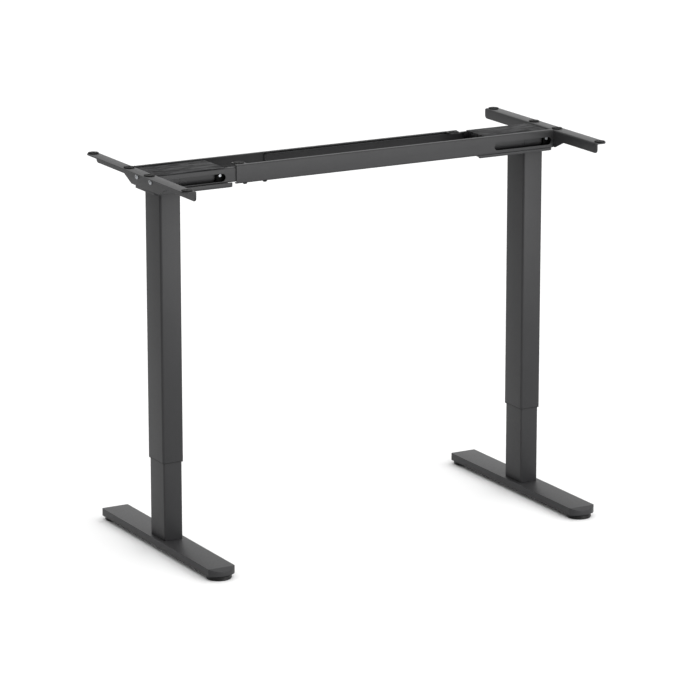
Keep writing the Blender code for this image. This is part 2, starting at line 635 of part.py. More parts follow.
def make_saddle(half):
    """Pressed tray on the column that carries both rails, with an upright end plate."""
    width = SADDLE_HALF_WIDTH
    plate = SADDLE_PLATE
    saddle = extruded(
        half.name("head_saddle"), [saddle_outline(0, SADDLE_FAR_END)], "Z", STRIP_BOTTOM,
        SADDLE_OVER, half.parts, half.upper
    )
    in_frame(saddle, OUTER_BOTTOM)
    hollow = extruded(
        half.name("saddle_hollow"), [saddle_outline(plate, SADDLE_FAR_END + CUT_PAST)], "Z",
        STRIP_BOTTOM - CUT_PAST, SADDLE_UNDER, half.cutters, half.upper
    )
    combine(saddle, in_frame(hollow, OUTER_BOTTOM), "DIFFERENCE")
    end_plate = box(
        half.name("saddle_end_plate"),
        (RAIL_START, -END_PLATE_HALF_WIDTH, SADDLE_UNDER + plate / 2),
        (RAIL_START + plate, END_PLATE_HALF_WIDTH, END_PLATE_TOP),
        half.cutters, half.upper
    )
    combine(saddle, in_frame(end_plate, OUTER_BOTTOM), "UNION")
    ledge = box(
        half.name("saddle_ledge"),
        (RAIL_START + SADDLE_CORNER_RADIUS, -width, SADDLE_UNDER + plate / 2),
        (SADDLE_END, -width + plate, STRIP_TOP), half.cutters, half.upper
    )
    combine(saddle, in_frame(ledge, OUTER_BOTTOM), "UNION")
    short_end = box(
        half.name("saddle_short_end_cut"),
        (SADDLE_END, -width - CUT_PAST, STRIP_BOTTOM - CUT_PAST),
        (SADDLE_FAR_END + CUT_PAST, 0, STRIP_TOP + CUT_PAST),
        half.cutters, half.upper
    )
    combine(saddle, in_frame(short_end, OUTER_BOTTOM), "DIFFERENCE")
    radius = SADDLE_STRIP_RADIUS
    strips = (
        ("short", SADDLE_END, -width - CUT_PAST, -width + plate + CUT_PAST),
        ("long", SADDLE_FAR_END, width - plate - CUT_PAST, width + CUT_PAST),
    )
    for label, end, low_y, high_y in strips:
        round_end = arc((STRIP_BOTTOM + radius, end - radius), radius, math.pi, math.pi / 2, CORNER_STEPS)
        outline = [(STRIP_BOTTOM - CUT_PAST, end - radius)] + round_end
        outline += [(STRIP_BOTTOM + radius, end + CUT_PAST), (STRIP_BOTTOM - CUT_PAST, end + CUT_PAST)]
        corner = extruded(
            half.name(f"saddle_{label}_corner_cut"), [outline], "Y", low_y, high_y,
            half.cutters, half.upper
        )
        combine(saddle, in_frame(corner, OUTER_BOTTOM), "DIFFERENCE")
    shaft_hole = rod(
        half.name("saddle_shaft_hole"), NUT_FLANGE_RADIUS, "Z", (0, 0),
        SADDLE_UNDER - CUT_PAST, SADDLE_OVER + CUT_PAST, half.cutters, half.upper
    )
    combine(saddle, in_frame(shaft_hole, OUTER_BOTTOM), "DIFFERENCE")
    cut_bolt_holes(half, saddle)
    finish(saddle, half.materials["steel"])


def cut_bolt_holes(half, obj):
    """The two bolt holes through the bracket's web and the saddle's end plate."""
    for number, bolt_y in enumerate(BOLT_ROWS, start=1):
        hole = rod(
            f"{obj.name}_bolt_hole_{number}", BOLT_RADIUS + BOLT_GAP, "X", (bolt_y, BOLT_Z),
            WEB_OUTER_X - CUT_PAST, RAIL_START + SADDLE_PLATE + CUT_PAST,
            half.cutters, half.upper, SMALL_ROUND_STEPS
        )
        combine(obj, in_frame(hole, OUTER_BOTTOM), "DIFFERENCE")


def drive_outline(inset):
    """The drive's section in the (Y, Z) plane, round at its sides."""
    shape = rounded_outline(
        DRIVE_DEPTH - 2 * inset, DRIVE_HEIGHT - 2 * inset, DRIVE_EDGE_RADIUS - inset
    )
    return [(y, z + DRIVE_Z) for y, z in shape]


def make_drive(half):
    """Gearbox over the column, motor lying along the head, lead screw hanging down."""
    gearbox = extruded(
        half.name("gearbox"), [drive_outline(0)], "X", -GEARBOX_LENGTH / 2, GEARBOX_LENGTH / 2,
        half.parts, half.upper
    )
    in_frame(gearbox, OUTER_BOTTOM)
    socket = rod(
        half.name("gearbox_socket"), LEAD_SCREW_RADIUS + TOUCH_GAP, "Z", (0, 0),
        DRIVE_BOTTOM - CUT_PAST, DRIVE_BOTTOM + GEARBOX_SOCKET, half.cutters, half.upper
    )
    combine(gearbox, in_frame(socket, OUTER_BOTTOM), "DIFFERENCE")
    finish(gearbox, half.materials["motor"])
    motor = extruded(
        half.name("motor"), [drive_outline(0)], "X", MOTOR_START, MOTOR_STEP_X,
        half.parts, half.upper
    )
    in_frame(motor, OUTER_BOTTOM)
    motor_end = extruded(
        half.name("motor_end"), [drive_outline(MOTOR_END_INSET)], "X",
        MOTOR_STEP_X - MOTOR_END_LENGTH, MOTOR_STEP_X + MOTOR_END_LENGTH,
        half.cutters, half.upper
    )
    combine(motor, in_frame(motor_end, OUTER_BOTTOM), "UNION")
    finish(motor, half.materials["motor"])
    screw_frame = half.frame("lead_screw", 0)
    lead_screw = rod(
        half.name("lead_screw"), LEAD_SCREW_RADIUS, "Z", (0, 0), SCREW_TOP - LEAD_SCREW_LENGTH,
        SCREW_TOP, half.parts, screw_frame
    )
    finish(lead_screw, half.materials["zinc"])


def rail_section(outer, lip, bottom, top, direction):
    """A channel's section in the (Y, Z) plane, its lips turned towards the frame's middle."""
    sheet = RAIL_SHEET
    points = [
        (outer, bottom),
        (outer, top),
        (outer - lip, top),
        (outer - lip, top - sheet),
        (outer - sheet, top - sheet),
        (outer - sheet, bottom + sheet),
        (outer - lip, bottom + sheet),
        (outer - lip, bottom),
    ]
    return [(direction * y, z) for y, z in points]


def cut_slot(half, obj, low_x, high_x, outer_y):
    """A long slot through a rail's web."""
    start, end = sorted((outer_y * 0.9, outer_y * 1.1))
    cutter = extruded(
        f"{obj.name}_slot", [slot_outline(low_x, high_x, SLOT_Z, RAIL_SLOT_HEIGHT)], "Y",
        start, end, half.cutters, half.upper
    )
    combine(obj, in_frame(cutter, OUTER_BOTTOM), "DIFFERENCE")


def make_short_rail(half):
    """The channel on the frame's front that slides inside the other half's long rail."""
    outer = SHORT_RAIL_HALF_GAUGE
    rail = extruded(
        half.name("short_rail"),
        [rail_section(outer, SHORT_RAIL_LIP, SHORT_RAIL_BOTTOM, SHORT_RAIL_TOP, -1)],
        "X", RAIL_START, SHORT_RAIL_END, half.parts, half.upper
    )
    in_frame(rail, OUTER_BOTTOM)
    cut_slot(half, rail, SHORT_SLOT_START, SHORT_SLOT_END, -outer)
    finish(rail, half.materials["steel"])


def make_long_rail(half):
    """The channel with the tab, rubber pad and lock screws at its free end."""
    outer = LONG_RAIL_HALF_GAUGE
    sheet = RAIL_SHEET
    tab_edge = LONG_LIP_EDGE - TAB_REACH
    section = rail_section(outer, LONG_RAIL_LIP, LONG_RAIL_BOTTOM, LONG_RAIL_TOP, 1)
    wide_lip = [(y, z) for y, z in section]
    wide_lip[2] = (tab_edge, LONG_RAIL_TOP)
    wide_lip[3] = (tab_edge, LONG_RAIL_TOP - sheet)
    rail = extruded(
        half.name("long_rail"), [wide_lip], "X", RAIL_START, LONG_RAIL_END,
        half.parts, half.upper
    )
    in_frame(rail, OUTER_BOTTOM)
    trims = (
        ("long", RAIL_START - CUT_PAST, TAB_START),
        ("end", TAB_END, LONG_RAIL_END + CUT_PAST),
    )
    for label, start, end in trims:
        trim = box(
            half.name(f"long_rail_lip_trim_{label}"),
            (start, tab_edge - CUT_PAST, LONG_RAIL_TOP - 2 * sheet),
            (end, LONG_LIP_EDGE, LONG_RAIL_TOP + CUT_PAST), half.cutters, half.upper
        )
        combine(rail, in_frame(trim, OUTER_BOTTOM), "DIFFERENCE")
    cut_slot(half, rail, LONG_SLOT_START, LONG_SLOT_END, outer)
    pad_x = (TAB_START + TAB_END) / 2
    pad_y = LONG_LIP_EDGE - TAB_PAD_FROM_EDGE
    pad_hole = rod(
        half.name("tab_hole"), PAD_STEM_RADIUS + TOUCH_GAP, "Z", (pad_x, pad_y),
        LONG_RAIL_TOP - CUT_PAST, LONG_RAIL_TOP + CUT_PAST, half.cutters, half.upper,
        SMALL_ROUND_STEPS
    )
    combine(rail, in_frame(pad_hole, OUTER_BOTTOM), "DIFFERENCE")
    make_pad(half, "rail_end_pad", pad_x, pad_y, LONG_RAIL_TOP, sheet)
    lock_y = outer - LOCK_SCREW_INSET
    for number, setback in enumerate(LOCK_SCREW_SETBACKS, start=1):
        lock_x = LONG_RAIL_END - setback
        hole = rod(
            half.name(f"lock_hole_{number}"), LOCK_SCREW_RADIUS + BOLT_GAP, "Z",
            (lock_x, lock_y), LONG_RAIL_BOTTOM - CUT_PAST, LONG_RAIL_BOTTOM + 2 * sheet,
            half.cutters, half.upper, SMALL_ROUND_STEPS
        )
        combine(rail, in_frame(hole, OUTER_BOTTOM), "DIFFERENCE")
        make_lock_screw(half, number, lock_x, lock_y)
    finish(rail, half.materials["steel"])


def make_lock_screw(half, number, x, y):
    """Screw through the long rail's lower lip that presses on the other half's short rail."""
    head_top = LONG_RAIL_BOTTOM - TOUCH_GAP
    tip = SHORT_RAIL_BOTTOM - TOUCH_GAP
    profile = [
        (0, tip),
        (LOCK_SCREW_RADIUS, tip),
        (LOCK_SCREW_RADIUS, head_top),
        (LOCK_HEAD_RADIUS, head_top),
        (LOCK_HEAD_RADIUS, head_top - LOCK_HEAD_HEIGHT),
        (0, head_top - LOCK_HEAD_HEIGHT),
    ]
    screw = turned(
        half.name(f"lock_screw_{number}"), profile, False, half.parts, half.upper,
        SMALL_ROUND_STEPS
    )
    screw.location = (x, y, -OUTER_BOTTOM)
    finish(screw, half.materials["plastic"])


def make_pad(half, name, x, y, seat, sheet):
    """A round rubber pad with a bore, its stem through the sheet's hole; all tops are level."""
    low = seat + TOUCH_GAP
    stem_end = seat - sheet - PAD_STEM_BELOW
    profile = [
        (PAD_RADIUS, PAD_TOP),
        (PAD_RADIUS, low),
        (PAD_STEM_RADIUS, low),
        (PAD_STEM_RADIUS, stem_end),
        (PAD_BORE, stem_end),
        (PAD_BORE, PAD_TOP),
    ]
    pad = turned(half.name(name), profile, True, half.parts, half.upper, SMALL_ROUND_STEPS)
    pad.location = (x, y, -OUTER_BOTTOM)
    finish(pad, half.materials["rubber"])


def make_cover(half):
    """Thin plate over the drive, one end turned down, with a screwed tab inside each rail."""
    reach = LONG_RAIL_HALF_GAUGE - RAIL_SHEET - TOUCH_GAP
    cover = box(
        half.name("motor_cover"),
        (RAIL_START + COVER_SETBACK, -SHORT_RAIL_HALF_GAUGE, COVER_BOTTOM),
        (COVER_END, reach, COVER_TOP), half.parts, half.upper
    )
    in_frame(cover, OUTER_BOTTOM)
    flap = box(
        half.name("cover_flap"), (COVER_END - COVER_SHEET, -COVER_TAB_Y, COVER_FLAP_BOTTOM),
        (COVER_END, COVER_TAB_Y, COVER_BOTTOM + COVER_SHEET / 2), half.cutters, half.upper
    )
    combine(cover, in_frame(flap, OUTER_BOTTOM), "UNION")
    tabs = (
        (1, -1, COVER_END - COVER_TAB_LENGTH, COVER_TAB_PAST_END),
        (2, 1, COVER_FAR_TAB_START, 0),
    )
    for number, direction, start, more in tabs:
        low_y, high_y = sorted((direction * COVER_TAB_Y, direction * (COVER_TAB_Y - COVER_SHEET)))
        tab = box(
            half.name(f"cover_tab_{number}"), (start, low_y, COVER_TOP - COVER_TAB_DROP),
            (start + COVER_TAB_LENGTH + more, high_y, COVER_BOTTOM + COVER_SHEET / 2),
            half.cutters, half.upper
        )
        combine(cover, in_frame(tab, OUTER_BOTTOM), "UNION")
    for number, direction, start, _ in tabs:
        screw_x = start + COVER_TAB_LENGTH / 2
        outer = direction * (COVER_TAB_Y + CUT_PAST)
        inner = direction * (COVER_TAB_Y - CUT_PAST)
        low_y, high_y = sorted((outer, inner))
        hole = rod(
            half.name(f"cover_screw_hole_{number}"), COVER_SCREW_RADIUS + BOLT_GAP, "Y",
            (COVER_SCREW_Z, screw_x), low_y, high_y, half.cutters, half.upper, SMALL_ROUND_STEPS
        )
        combine(cover, in_frame(hole, OUTER_BOTTOM), "DIFFERENCE")
        make_cover_screw(half, number, direction, screw_x)
    finish(cover, half.materials["cover"])


def headed_screw_profile(head_radius, head_height, shank_radius, shank_length):
    """A pan head above Z 0 and a plain shank below it."""
    return [
        (0, head_height),
        (head_radius * 0.72, head_height),
        (head_radius, head_height * 0.45),
        (head_radius, 0),
        (shank_radius, 0),
        (shank_radius, -shank_length),
        (0, -shank_length),
    ]


def make_cover_screw(half, number, direction, x):
    profile = headed_screw_profile(
        COVER_HEAD_RADIUS, COVER_HEAD_HEIGHT, COVER_SCREW_RADIUS, COVER_SCREW_LENGTH
    )
    screw = turned(
        half.name(f"cover_screw_{number}"), profile, False, half.parts, half.upper,
        SMALL_ROUND_STEPS
    )
    screw.location = (x, direction * (COVER_TAB_Y + TOUCH_GAP), COVER_SCREW_Z - OUTER_BOTTOM)
    screw.rotation_euler = (-direction * math.pi / 2, 0, 0)
    finish(screw, half.materials["zinc"])


def make_bracket(half):
    """Side bracket: a web bolted to the head, deeper in its middle, and an outward top flange."""
    half_length = BRACKET_LENGTH / 2
    middle = BRACKET_SHIFT
    low_y, high_y = middle - half_length, middle + half_length
    edge = -BRACKET_FACE - BRACKET_FLANGE
    radius = BRACKET_FLANGE_RADIUS
    plan = [(-BRACKET_FACE, low_y), (-BRACKET_FACE, high_y)]
    plan += arc((edge + radius, high_y - radius), radius, math.pi / 2, math.pi, CORNER_STEPS)
    plan += arc((edge + radius, low_y + radius), radius, math.pi, 1.5 * math.pi, CORNER_STEPS)
    web_bottom = FLANGE_TOP - BRACKET_WEB_DEPTH
    deep_bottom = FLANGE_TOP - BRACKET_DEEP_DEPTH
    bracket = extruded(
        half.name("side_bracket"), [plan], "Z", deep_bottom, FLANGE_TOP, half.parts, half.upper
    )
    in_frame(bracket, OUTER_BOTTOM)
    under = box(
        half.name("bracket_under_flange_cut"),
        (edge - CUT_PAST, low_y - CUT_PAST, deep_bottom - CUT_PAST),
        (WEB_OUTER_X, high_y + CUT_PAST, FLANGE_BOTTOM), half.cutters, half.upper
    )
    combine(bracket, in_frame(under, OUTER_BOTTOM), "DIFFERENCE")
    radius = BRACKET_CORNER_RADIUS
    for end, label in ((-1, "front"), (1, "rear")):
        corner_centre = (half_length - radius, web_bottom + radius)
        corner = arc(corner_centre, radius, 0, -math.pi / 2, CORNER_STEPS)
        outline = [(half_length + CUT_PAST, web_bottom + radius)] + corner
        outline += [
            (BRACKET_DEEP_TOP_HALF, web_bottom),
            (BRACKET_DEEP_BOTTOM_HALF, deep_bottom),
            (BRACKET_DEEP_BOTTOM_HALF, deep_bottom - CUT_PAST),
            (half_length + CUT_PAST, deep_bottom - CUT_PAST),
        ]
        trim = extruded(
            half.name(f"bracket_web_trim_{label}"), [[(middle + end * y, z) for y, z in outline]],
            "X", edge, -BRACKET_FACE + CUT_PAST, half.cutters, half.upper
        )
        combine(bracket, in_frame(trim, OUTER_BOTTOM), "DIFFERENCE")
    cut_bolt_holes(half, bracket)
    pad_x = -BRACKET_FACE - PAD_FROM_WEB
    for number, row in enumerate(PAD_ROWS, start=1):
        hole = rod(
            half.name(f"bracket_pad_hole_{number}"), PAD_STEM_RADIUS + TOUCH_GAP, "Z",
            (pad_x, middle + row), FLANGE_BOTTOM - CUT_PAST, FLANGE_TOP + CUT_PAST,
            half.cutters, half.upper, SMALL_ROUND_STEPS
        )
        combine(bracket, in_frame(hole, OUTER_BOTTOM), "DIFFERENCE")
        make_pad(half, f"top_pad_{number}", pad_x, middle + row, FLANGE_TOP, BRACKET_SHEET)
    finish(bracket, half.materials["steel"])


def make_bracket_bolts(half):
    profile = headed_screw_profile(BOLT_HEAD_RADIUS, BOLT_HEAD_HEIGHT, BOLT_RADIUS, BOLT_LENGTH)
    for number, bolt_y in enumerate(BOLT_ROWS, start=1):
        bolt = turned(
            half.name(f"bracket_bolt_{number}"), profile, False, half.parts, half.upper,
            SMALL_ROUND_STEPS
        )
        bolt.location = (WEB_OUTER_X - TOUCH_GAP, bolt_y, BOLT_Z - OUTER_BOTTOM)
        bolt.rotation_euler = (0, -math.pi / 2, 0)
        finish(bolt, half.materials["zinc"])


def make_half(side, turn, parts, cutters, materials):
    half = Half(side, turn, parts, cutters, materials)
    make_foot(half)
    make_glides(half)
    make_inner_column(half)
    make_bushes(half)
    make_outer_column(half)
    make_saddle(half)
    make_drive(half)
    make_short_rail(half)
    make_long_rail(half)
    make_cover(half)
    make_bracket(half)
    make_bracket_bolts(half)


def main():
    clear_scene()
    parts = new_collection("standing_desk_frame")
    cutters = new_collection("cutters")
    materials = {
        "steel": material("powder_coated_steel", (0.062, 0.062, 0.064), 0.45, 0.0),
        "cover": material("textured_cover_coat", (0.05, 0.05, 0.051), 0.6, 0.0),
        "zinc": material("zinc_plated_steel", (0.55, 0.56, 0.58), 0.3, 1.0),
        "motor": material("motor_can_steel", (0.12, 0.12, 0.125), 0.4, 1.0),
        "plastic": material("black_nylon_housing", (0.02, 0.02, 0.02), 0.5, 0.0),
        "nylon": material("black_nylon_bush", (0.03, 0.03, 0.03), 0.45, 0.0),
        "rubber": material("black_rubber_pad", (0.015, 0.015, 0.015), 0.8, 0.0),
        "glide": material("black_glide_plastic", (0.012, 0.012, 0.012), 0.4, 0.0),
    }
    make_half("left", 0.0, parts, cutters, materials)
    make_half("right", math.pi, parts, cutters, materials)


main()
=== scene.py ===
"""Looks of the height adjustable desk frame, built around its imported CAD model.

Metres, +Z up, the row's frame: the origin is on the floor midway between the columns, +X runs along
the frame and -Y is the front. Every piece is made for the left half first. The right half is the
same half turned half a turn about Z, so a right piece is a turned copy of the left one's mesh.
"""

import json
import math

import bmesh
import bpy
from mathutils import Matrix, Vector


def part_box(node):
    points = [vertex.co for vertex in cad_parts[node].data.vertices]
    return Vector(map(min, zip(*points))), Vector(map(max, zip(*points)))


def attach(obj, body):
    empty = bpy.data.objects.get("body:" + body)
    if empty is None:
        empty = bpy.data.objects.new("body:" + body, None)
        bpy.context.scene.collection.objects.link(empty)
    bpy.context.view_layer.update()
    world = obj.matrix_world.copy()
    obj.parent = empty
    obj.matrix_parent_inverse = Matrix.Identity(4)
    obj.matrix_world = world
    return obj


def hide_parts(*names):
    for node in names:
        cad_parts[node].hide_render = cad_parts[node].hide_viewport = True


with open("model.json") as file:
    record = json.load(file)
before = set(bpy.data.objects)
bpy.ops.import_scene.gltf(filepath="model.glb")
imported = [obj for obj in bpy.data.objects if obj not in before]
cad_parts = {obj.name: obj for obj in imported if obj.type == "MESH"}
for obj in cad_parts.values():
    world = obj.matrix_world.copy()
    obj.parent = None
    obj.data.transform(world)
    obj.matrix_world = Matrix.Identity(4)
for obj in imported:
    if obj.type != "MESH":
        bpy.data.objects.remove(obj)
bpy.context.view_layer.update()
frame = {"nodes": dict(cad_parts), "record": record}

MM = 0.001
HALF_TURN = Matrix.Rotation(math.pi, 4, "Z")

# --- view ----------------------------------------------------------------------------------------

VIEW_AZIMUTH = math.radians(-29.43)  # 0 looks along +Y, negative from the frame's left
VIEW_ELEVATION = math.radians(14.48)
VIEW_DISTANCE = 9.289
VIEW_TARGET = Vector((0.013, 0.015, 0.4214))
VIEW_LENS, VIEW_SENSOR = 195.63, 36.0  # mm
VIEW_LIMIT = 100.0  # the farthest that is drawn

# --- light ---------------------------------------------------------------------------------------

WALLS_ON_LEFT, WALLS_ON_RIGHT = 0.42, 1.6
CEILING_LIGHT = 1.4  # W/m2
CEILING_SPREAD = math.radians(100)
SOFTBOX_PLACE, SOFTBOX_TARGET = Vector((1.8, -4.2, 0.6)), Vector((0.1, 0, 0.4))
SOFTBOX_SIDE, SOFTBOX_WATTS = 2.2, 125
FLOOR_SIDE = 60

# --- sizes, as the CAD has them ------------------------------------------------------------------

LEG_X = -500 * MM  # the left column's axis
TOUCH_GAP = 0.3 * MM
SLIDE_GAP = 0.3 * MM
OUTER_WALL, OUTER_RADIUS = 1.5 * MM, 5.5 * MM
INNER_WALL, INNER_RADIUS = 2.0 * MM, 3.95 * MM
FOOT_WALL, FOOT_CORNER, FOOT_NOSE_TURN = 2.5 * MM, 6 * MM, 46
FOOT_SLOPE_LENGTH, FOOT_SLOPE_DROP = 14.5 * MM, 7 * MM
FOOT_BOSS_RADIUS, STUD_RADIUS, GLIDE_TOP = 11 * MM, 5 * MM, 9.5 * MM
RAIL_SHEET, RAIL_BEND, RAIL_LIP = 2.2 * MM, 3.2 * MM, 10 * MM
SLOT_LIFT, SLOT_HEIGHT = 13.5 * MM, 19 * MM
SHORT_SLOT = (-12 * MM, 138 * MM)
LONG_SLOT_SETBACK, LONG_SLOT_END = 6.5 * MM, 123.7 * MM
TAB_HALF, TAB_RADIUS, TAB_OVERLAP = 14 * MM, 4 * MM, 3 * MM
CUT_EDGE = 0.3 * MM  # how much a cut or cast edge is broken
BRACKET_SHEET, BRACKET_BEND = 3 * MM, 2.5 * MM
BRACKET_FLANGE_RADIUS, BRACKET_WEB_RADIUS, BRACKET_WEB_DEPTH = 16 * MM, 9 * MM, 25 * MM
BRACKET_DEEP_TOP, BRACKET_DEEP_BOTTOM = 109 * MM, 71 * MM
PAD_RADIUS, PAD_BORE, PAD_STEM_RADIUS = 13 * MM, 2.4 * MM, 4.2 * MM
PAD_EDGE, PAD_STEM_LENGTH = 0.7 * MM, 4.6 * MM
DRIVE_RADIUS = 16.5 * MM
MOTOR_END_LENGTH, MOTOR_END_INSET = 8 * MM, 2.5 * MM
PAINTED_SHADE_DEPTH = 16 * MM  # how far below the cover's top the painted shade on its end and tabs reaches full black
CUT_PAST = 5 * MM  # how far a cutter runs out of what it cuts

HEAD_DOWN = (180, 0, 0)  # a screw's turn about X, Y and Z, in degrees
FOOT_BOLT_PLACES = [(x * MM, y * MM) for x in (-13.5, 13.5) for y in (-26, 26)]  # from the foot's middle
FOOT_BOLT = {
    "Head Radius": 5.5 * MM, "Head Height": 3.2 * MM, "Recess Radius": 2.4 * MM, "Recess Depth": 1.8 * MM,
    "Recess Sides": 6, "Shank Radius": 3 * MM, "Shank Length": 1.5 * MM,
}
BRACKET_BOLT = {
    "Head Radius": 6.8 * MM, "Head Height": 3 * MM, "Recess Radius": 2.0 * MM, "Recess Depth": 1.2 * MM,
    "Recess Sides": 6, "Shank Radius": 4 * MM, "Shank Length": 18 * MM,
}
COVER_SCREW = {
    "Head Radius": 4.2 * MM, "Head Height": 2 * MM, "Recess Radius": 1.7 * MM, "Recess Depth": 1.2 * MM,
    "Recess Sides": 6, "Shank Radius": 2.1 * MM, "Shank Length": 5 * MM,
}
LOCK_SCREW = {
    "Head Radius": 5.5 * MM, "Head Height": 2.8 * MM, "Recess Radius": 2.2 * MM, "Recess Depth": 1.6 * MM,
    "Recess Sides": 6, "Shank Radius": 2.5 * MM, "Shank Length": 4.4 * MM,
}


# --- colours and node building -------------------------------------------------------------------


def srgb(code):
    """An sRGB hex value as the linear RGBA that a shader socket takes."""
    channels = [int(code[i : i + 2], 16) / 255 for i in (1, 3, 5)]
    linear = [c / 12.92 if c <= 0.04045 else ((c + 0.055) / 1.055) ** 2.4 for c in channels]
    return (*linear, 1.0)


def add_node(tree, kind, settings=None, values=None, links=None):
    """A node with its properties, its sockets' own values, and links from other nodes' outputs."""
    node = tree.nodes.new(kind)
    for name, value in (settings or {}).items():
        setattr(node, name, value)
    for socket, value in (values or {}).items():
        node.inputs[socket].default_value = value
    for socket, (source, output) in (links or {}).items():
        tree.links.new(source.outputs[output], node.inputs[socket])
    return node


def new_material(name):
    """An empty node material with its output; returns the material and its tree."""
    material = bpy.data.materials.new(name)
    material.use_nodes = True
    material.node_tree.nodes.clear()
    return material, material.node_tree


def close_material(tree, shader):
    output = tree.nodes.new("ShaderNodeOutputMaterial")
    tree.links.new(shader.outputs["BSDF"], output.inputs["Surface"])


def grain(size_mm):
    """The noise scale whose grains are about this many millimetres across."""
    return 1.0 / (size_mm * MM)


# --- materials -----------------------------------------------------------------------------------


def powder_coated_steel(name, dark, light, roughness):
    """Epoxy-polyester powder coat, sprayed and baked on steel: a satin skin with orange peel.

    The real peel is about 0.6 mm across; it is drawn at 2 mm, the finest that shows, with a broad
    mottle of the coat's thickness under it.
    """
    material, tree = new_material(name)
    where = add_node(tree, "ShaderNodeTexCoord")
    mottle = add_node(
        tree, "ShaderNodeTexNoise", values={"Scale": grain(70), "Detail": 3.0, "Roughness": 0.6},
        links={"Vector": (where, "Object")},
    )
    peel = add_node(
        tree, "ShaderNodeTexNoise", values={"Scale": grain(2.0), "Detail": 4.0, "Roughness": 0.55},
        links={"Vector": (where, "Object")},
    )
    tone = add_node(
        tree, "ShaderNodeMix", settings={"data_type": "RGBA"},
        values={"A": srgb(dark), "B": srgb(light)}, links={"Factor": (mottle, "Fac")},
    )
    gloss = add_node(
        tree, "ShaderNodeMapRange",
        values={"From Min": 0.3, "From Max": 0.7, "To Min": roughness - 0.05, "To Max": roughness + 0.05},
        links={"Value": (peel, "Fac")},
    )
    bump = add_node(
        tree, "ShaderNodeBump", values={"Strength": 0.12, "Distance": 0.0004},
        links={"Height": (peel, "Fac")},
    )
    shader = add_node(
        tree, "ShaderNodeBsdfPrincipled", values={"Metallic": 0.0, "IOR": 1.5, "Specular IOR Level": 0.22},
        links={"Base Color": (tone, "Result"), "Roughness": (gloss, "Result"), "Normal": (bump, "Normal")},
    )
    close_material(tree, shader)
    return material


def streaked_cover_coat(name):
    """Rolled steel sheet under a thin dark coat: broken wavy streaks run along the frame.

    The real rolling marks are about 1 mm wide; they are drawn 3 mm wide, the finest that shows. The
    turned-down end and tabs are painted darker towards the bottom, to near black: painted shade for the
    shade inside the rails, seen through their slots.
    """
    material, tree = new_material(name)
    where = add_node(tree, "ShaderNodeTexCoord")
    drift = add_node(
        tree, "ShaderNodeTexNoise", values={"Scale": grain(45), "Detail": 2.0, "Roughness": 0.5},
        links={"Vector": (where, "Object")},
    )
    centred = add_node(
        tree, "ShaderNodeVectorMath", settings={"operation": "SUBTRACT"}, values={1: (0.5, 0.5, 0.5)},
        links={0: (drift, "Color")},
    )
    sway = add_node(
        tree, "ShaderNodeVectorMath", settings={"operation": "SCALE"}, values={"Scale": 18 * MM},
        links={0: (centred, "Vector")},
    )
    bent = add_node(
        tree, "ShaderNodeVectorMath", settings={"operation": "ADD"},
        links={0: (where, "Object"), 1: (sway, "Vector")},
    )
    stretch = add_node(
        tree, "ShaderNodeMapping", values={"Scale": (0.09, 1.0, 1.0)}, links={"Vector": (bent, "Vector")}
    )
    streaks = add_node(
        tree, "ShaderNodeTexNoise", values={"Scale": grain(7), "Detail": 4.0, "Roughness": 0.62},
        links={"Vector": (stretch, "Vector")},
    )
    tone = add_node(tree, "ShaderNodeValToRGB", links={"Fac": (streaks, "Fac")})
    tone.color_ramp.elements[0].color = srgb("#111112")
    tone.color_ramp.elements[0].position = 0.40
    tone.color_ramp.elements[1].color = srgb("#3c3c3d")
    tone.color_ramp.elements[1].position = 0.62
    # painted shade: below the cover's top, its end and tabs darken to near black (#050505), standing in for
    # the shade inside the rails
    height = add_node(tree, "ShaderNodeSeparateXYZ", links={"Vector": (where, "Object")})
    cover_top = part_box("left_motor_cover")[1][2]
    painted_shade_fade = add_node(
        tree, "ShaderNodeMapRange",
        values={"From Min": cover_top - PAINTED_SHADE_DEPTH, "From Max": cover_top - 1 * MM},
        links={"Value": (height, "Z")},
    )
    coat = add_node(
        tree, "ShaderNodeMix", settings={"data_type": "RGBA"}, values={"A": srgb("#050505")},
        links={"Factor": (painted_shade_fade, "Result"), "B": (tone, "Color")},
    )
    gloss = add_node(
        tree, "ShaderNodeMapRange",
        values={"From Min": 0.35, "From Max": 0.65, "To Min": 0.75, "To Max": 0.6},
        links={"Value": (streaks, "Fac")},
    )
    bump = add_node(
        tree, "ShaderNodeBump", values={"Strength": 0.35, "Distance": 0.0006},
        links={"Height": (streaks, "Fac")},
    )
    shader = add_node(
        tree, "ShaderNodeBsdfPrincipled", values={"Metallic": 0.0, "IOR": 1.5, "Specular IOR Level": 0.06},
        links={"Base Color": (coat, "Result"), "Roughness": (gloss, "Result"), "Normal": (bump, "Normal")},
    )
    close_material(tree, shader)
    return material


def metal(name, dark, light, roughness, grain_mm):
    """Plated or blackened metal: fine crystals of the given size."""
    material, tree = new_material(name)
    where = add_node(tree, "ShaderNodeTexCoord")
    marks = add_node(
        tree, "ShaderNodeTexNoise", values={"Scale": grain(grain_mm), "Detail": 3.0, "Roughness": 0.6},
        links={"Vector": (where, "Object")},
    )
    tone = add_node(
        tree, "ShaderNodeMix", settings={"data_type": "RGBA"},
        values={"A": srgb(dark), "B": srgb(light)}, links={"Factor": (marks, "Fac")},
    )
    gloss = add_node(
        tree, "ShaderNodeMapRange",
        values={"From Min": 0.3, "From Max": 0.7, "To Min": roughness - 0.08, "To Max": roughness + 0.08},
        links={"Value": (marks, "Fac")},
    )
    bump = add_node(
        tree, "ShaderNodeBump", values={"Strength": 0.1, "Distance": 0.0002},
        links={"Height": (marks, "Fac")},
    )
    shader = add_node(
        tree, "ShaderNodeBsdfPrincipled", values={"Metallic": 1.0},
        links={"Base Color": (tone, "Result"), "Roughness": (gloss, "Result"), "Normal": (bump, "Normal")},
    )
    close_material(tree, shader)
    return material


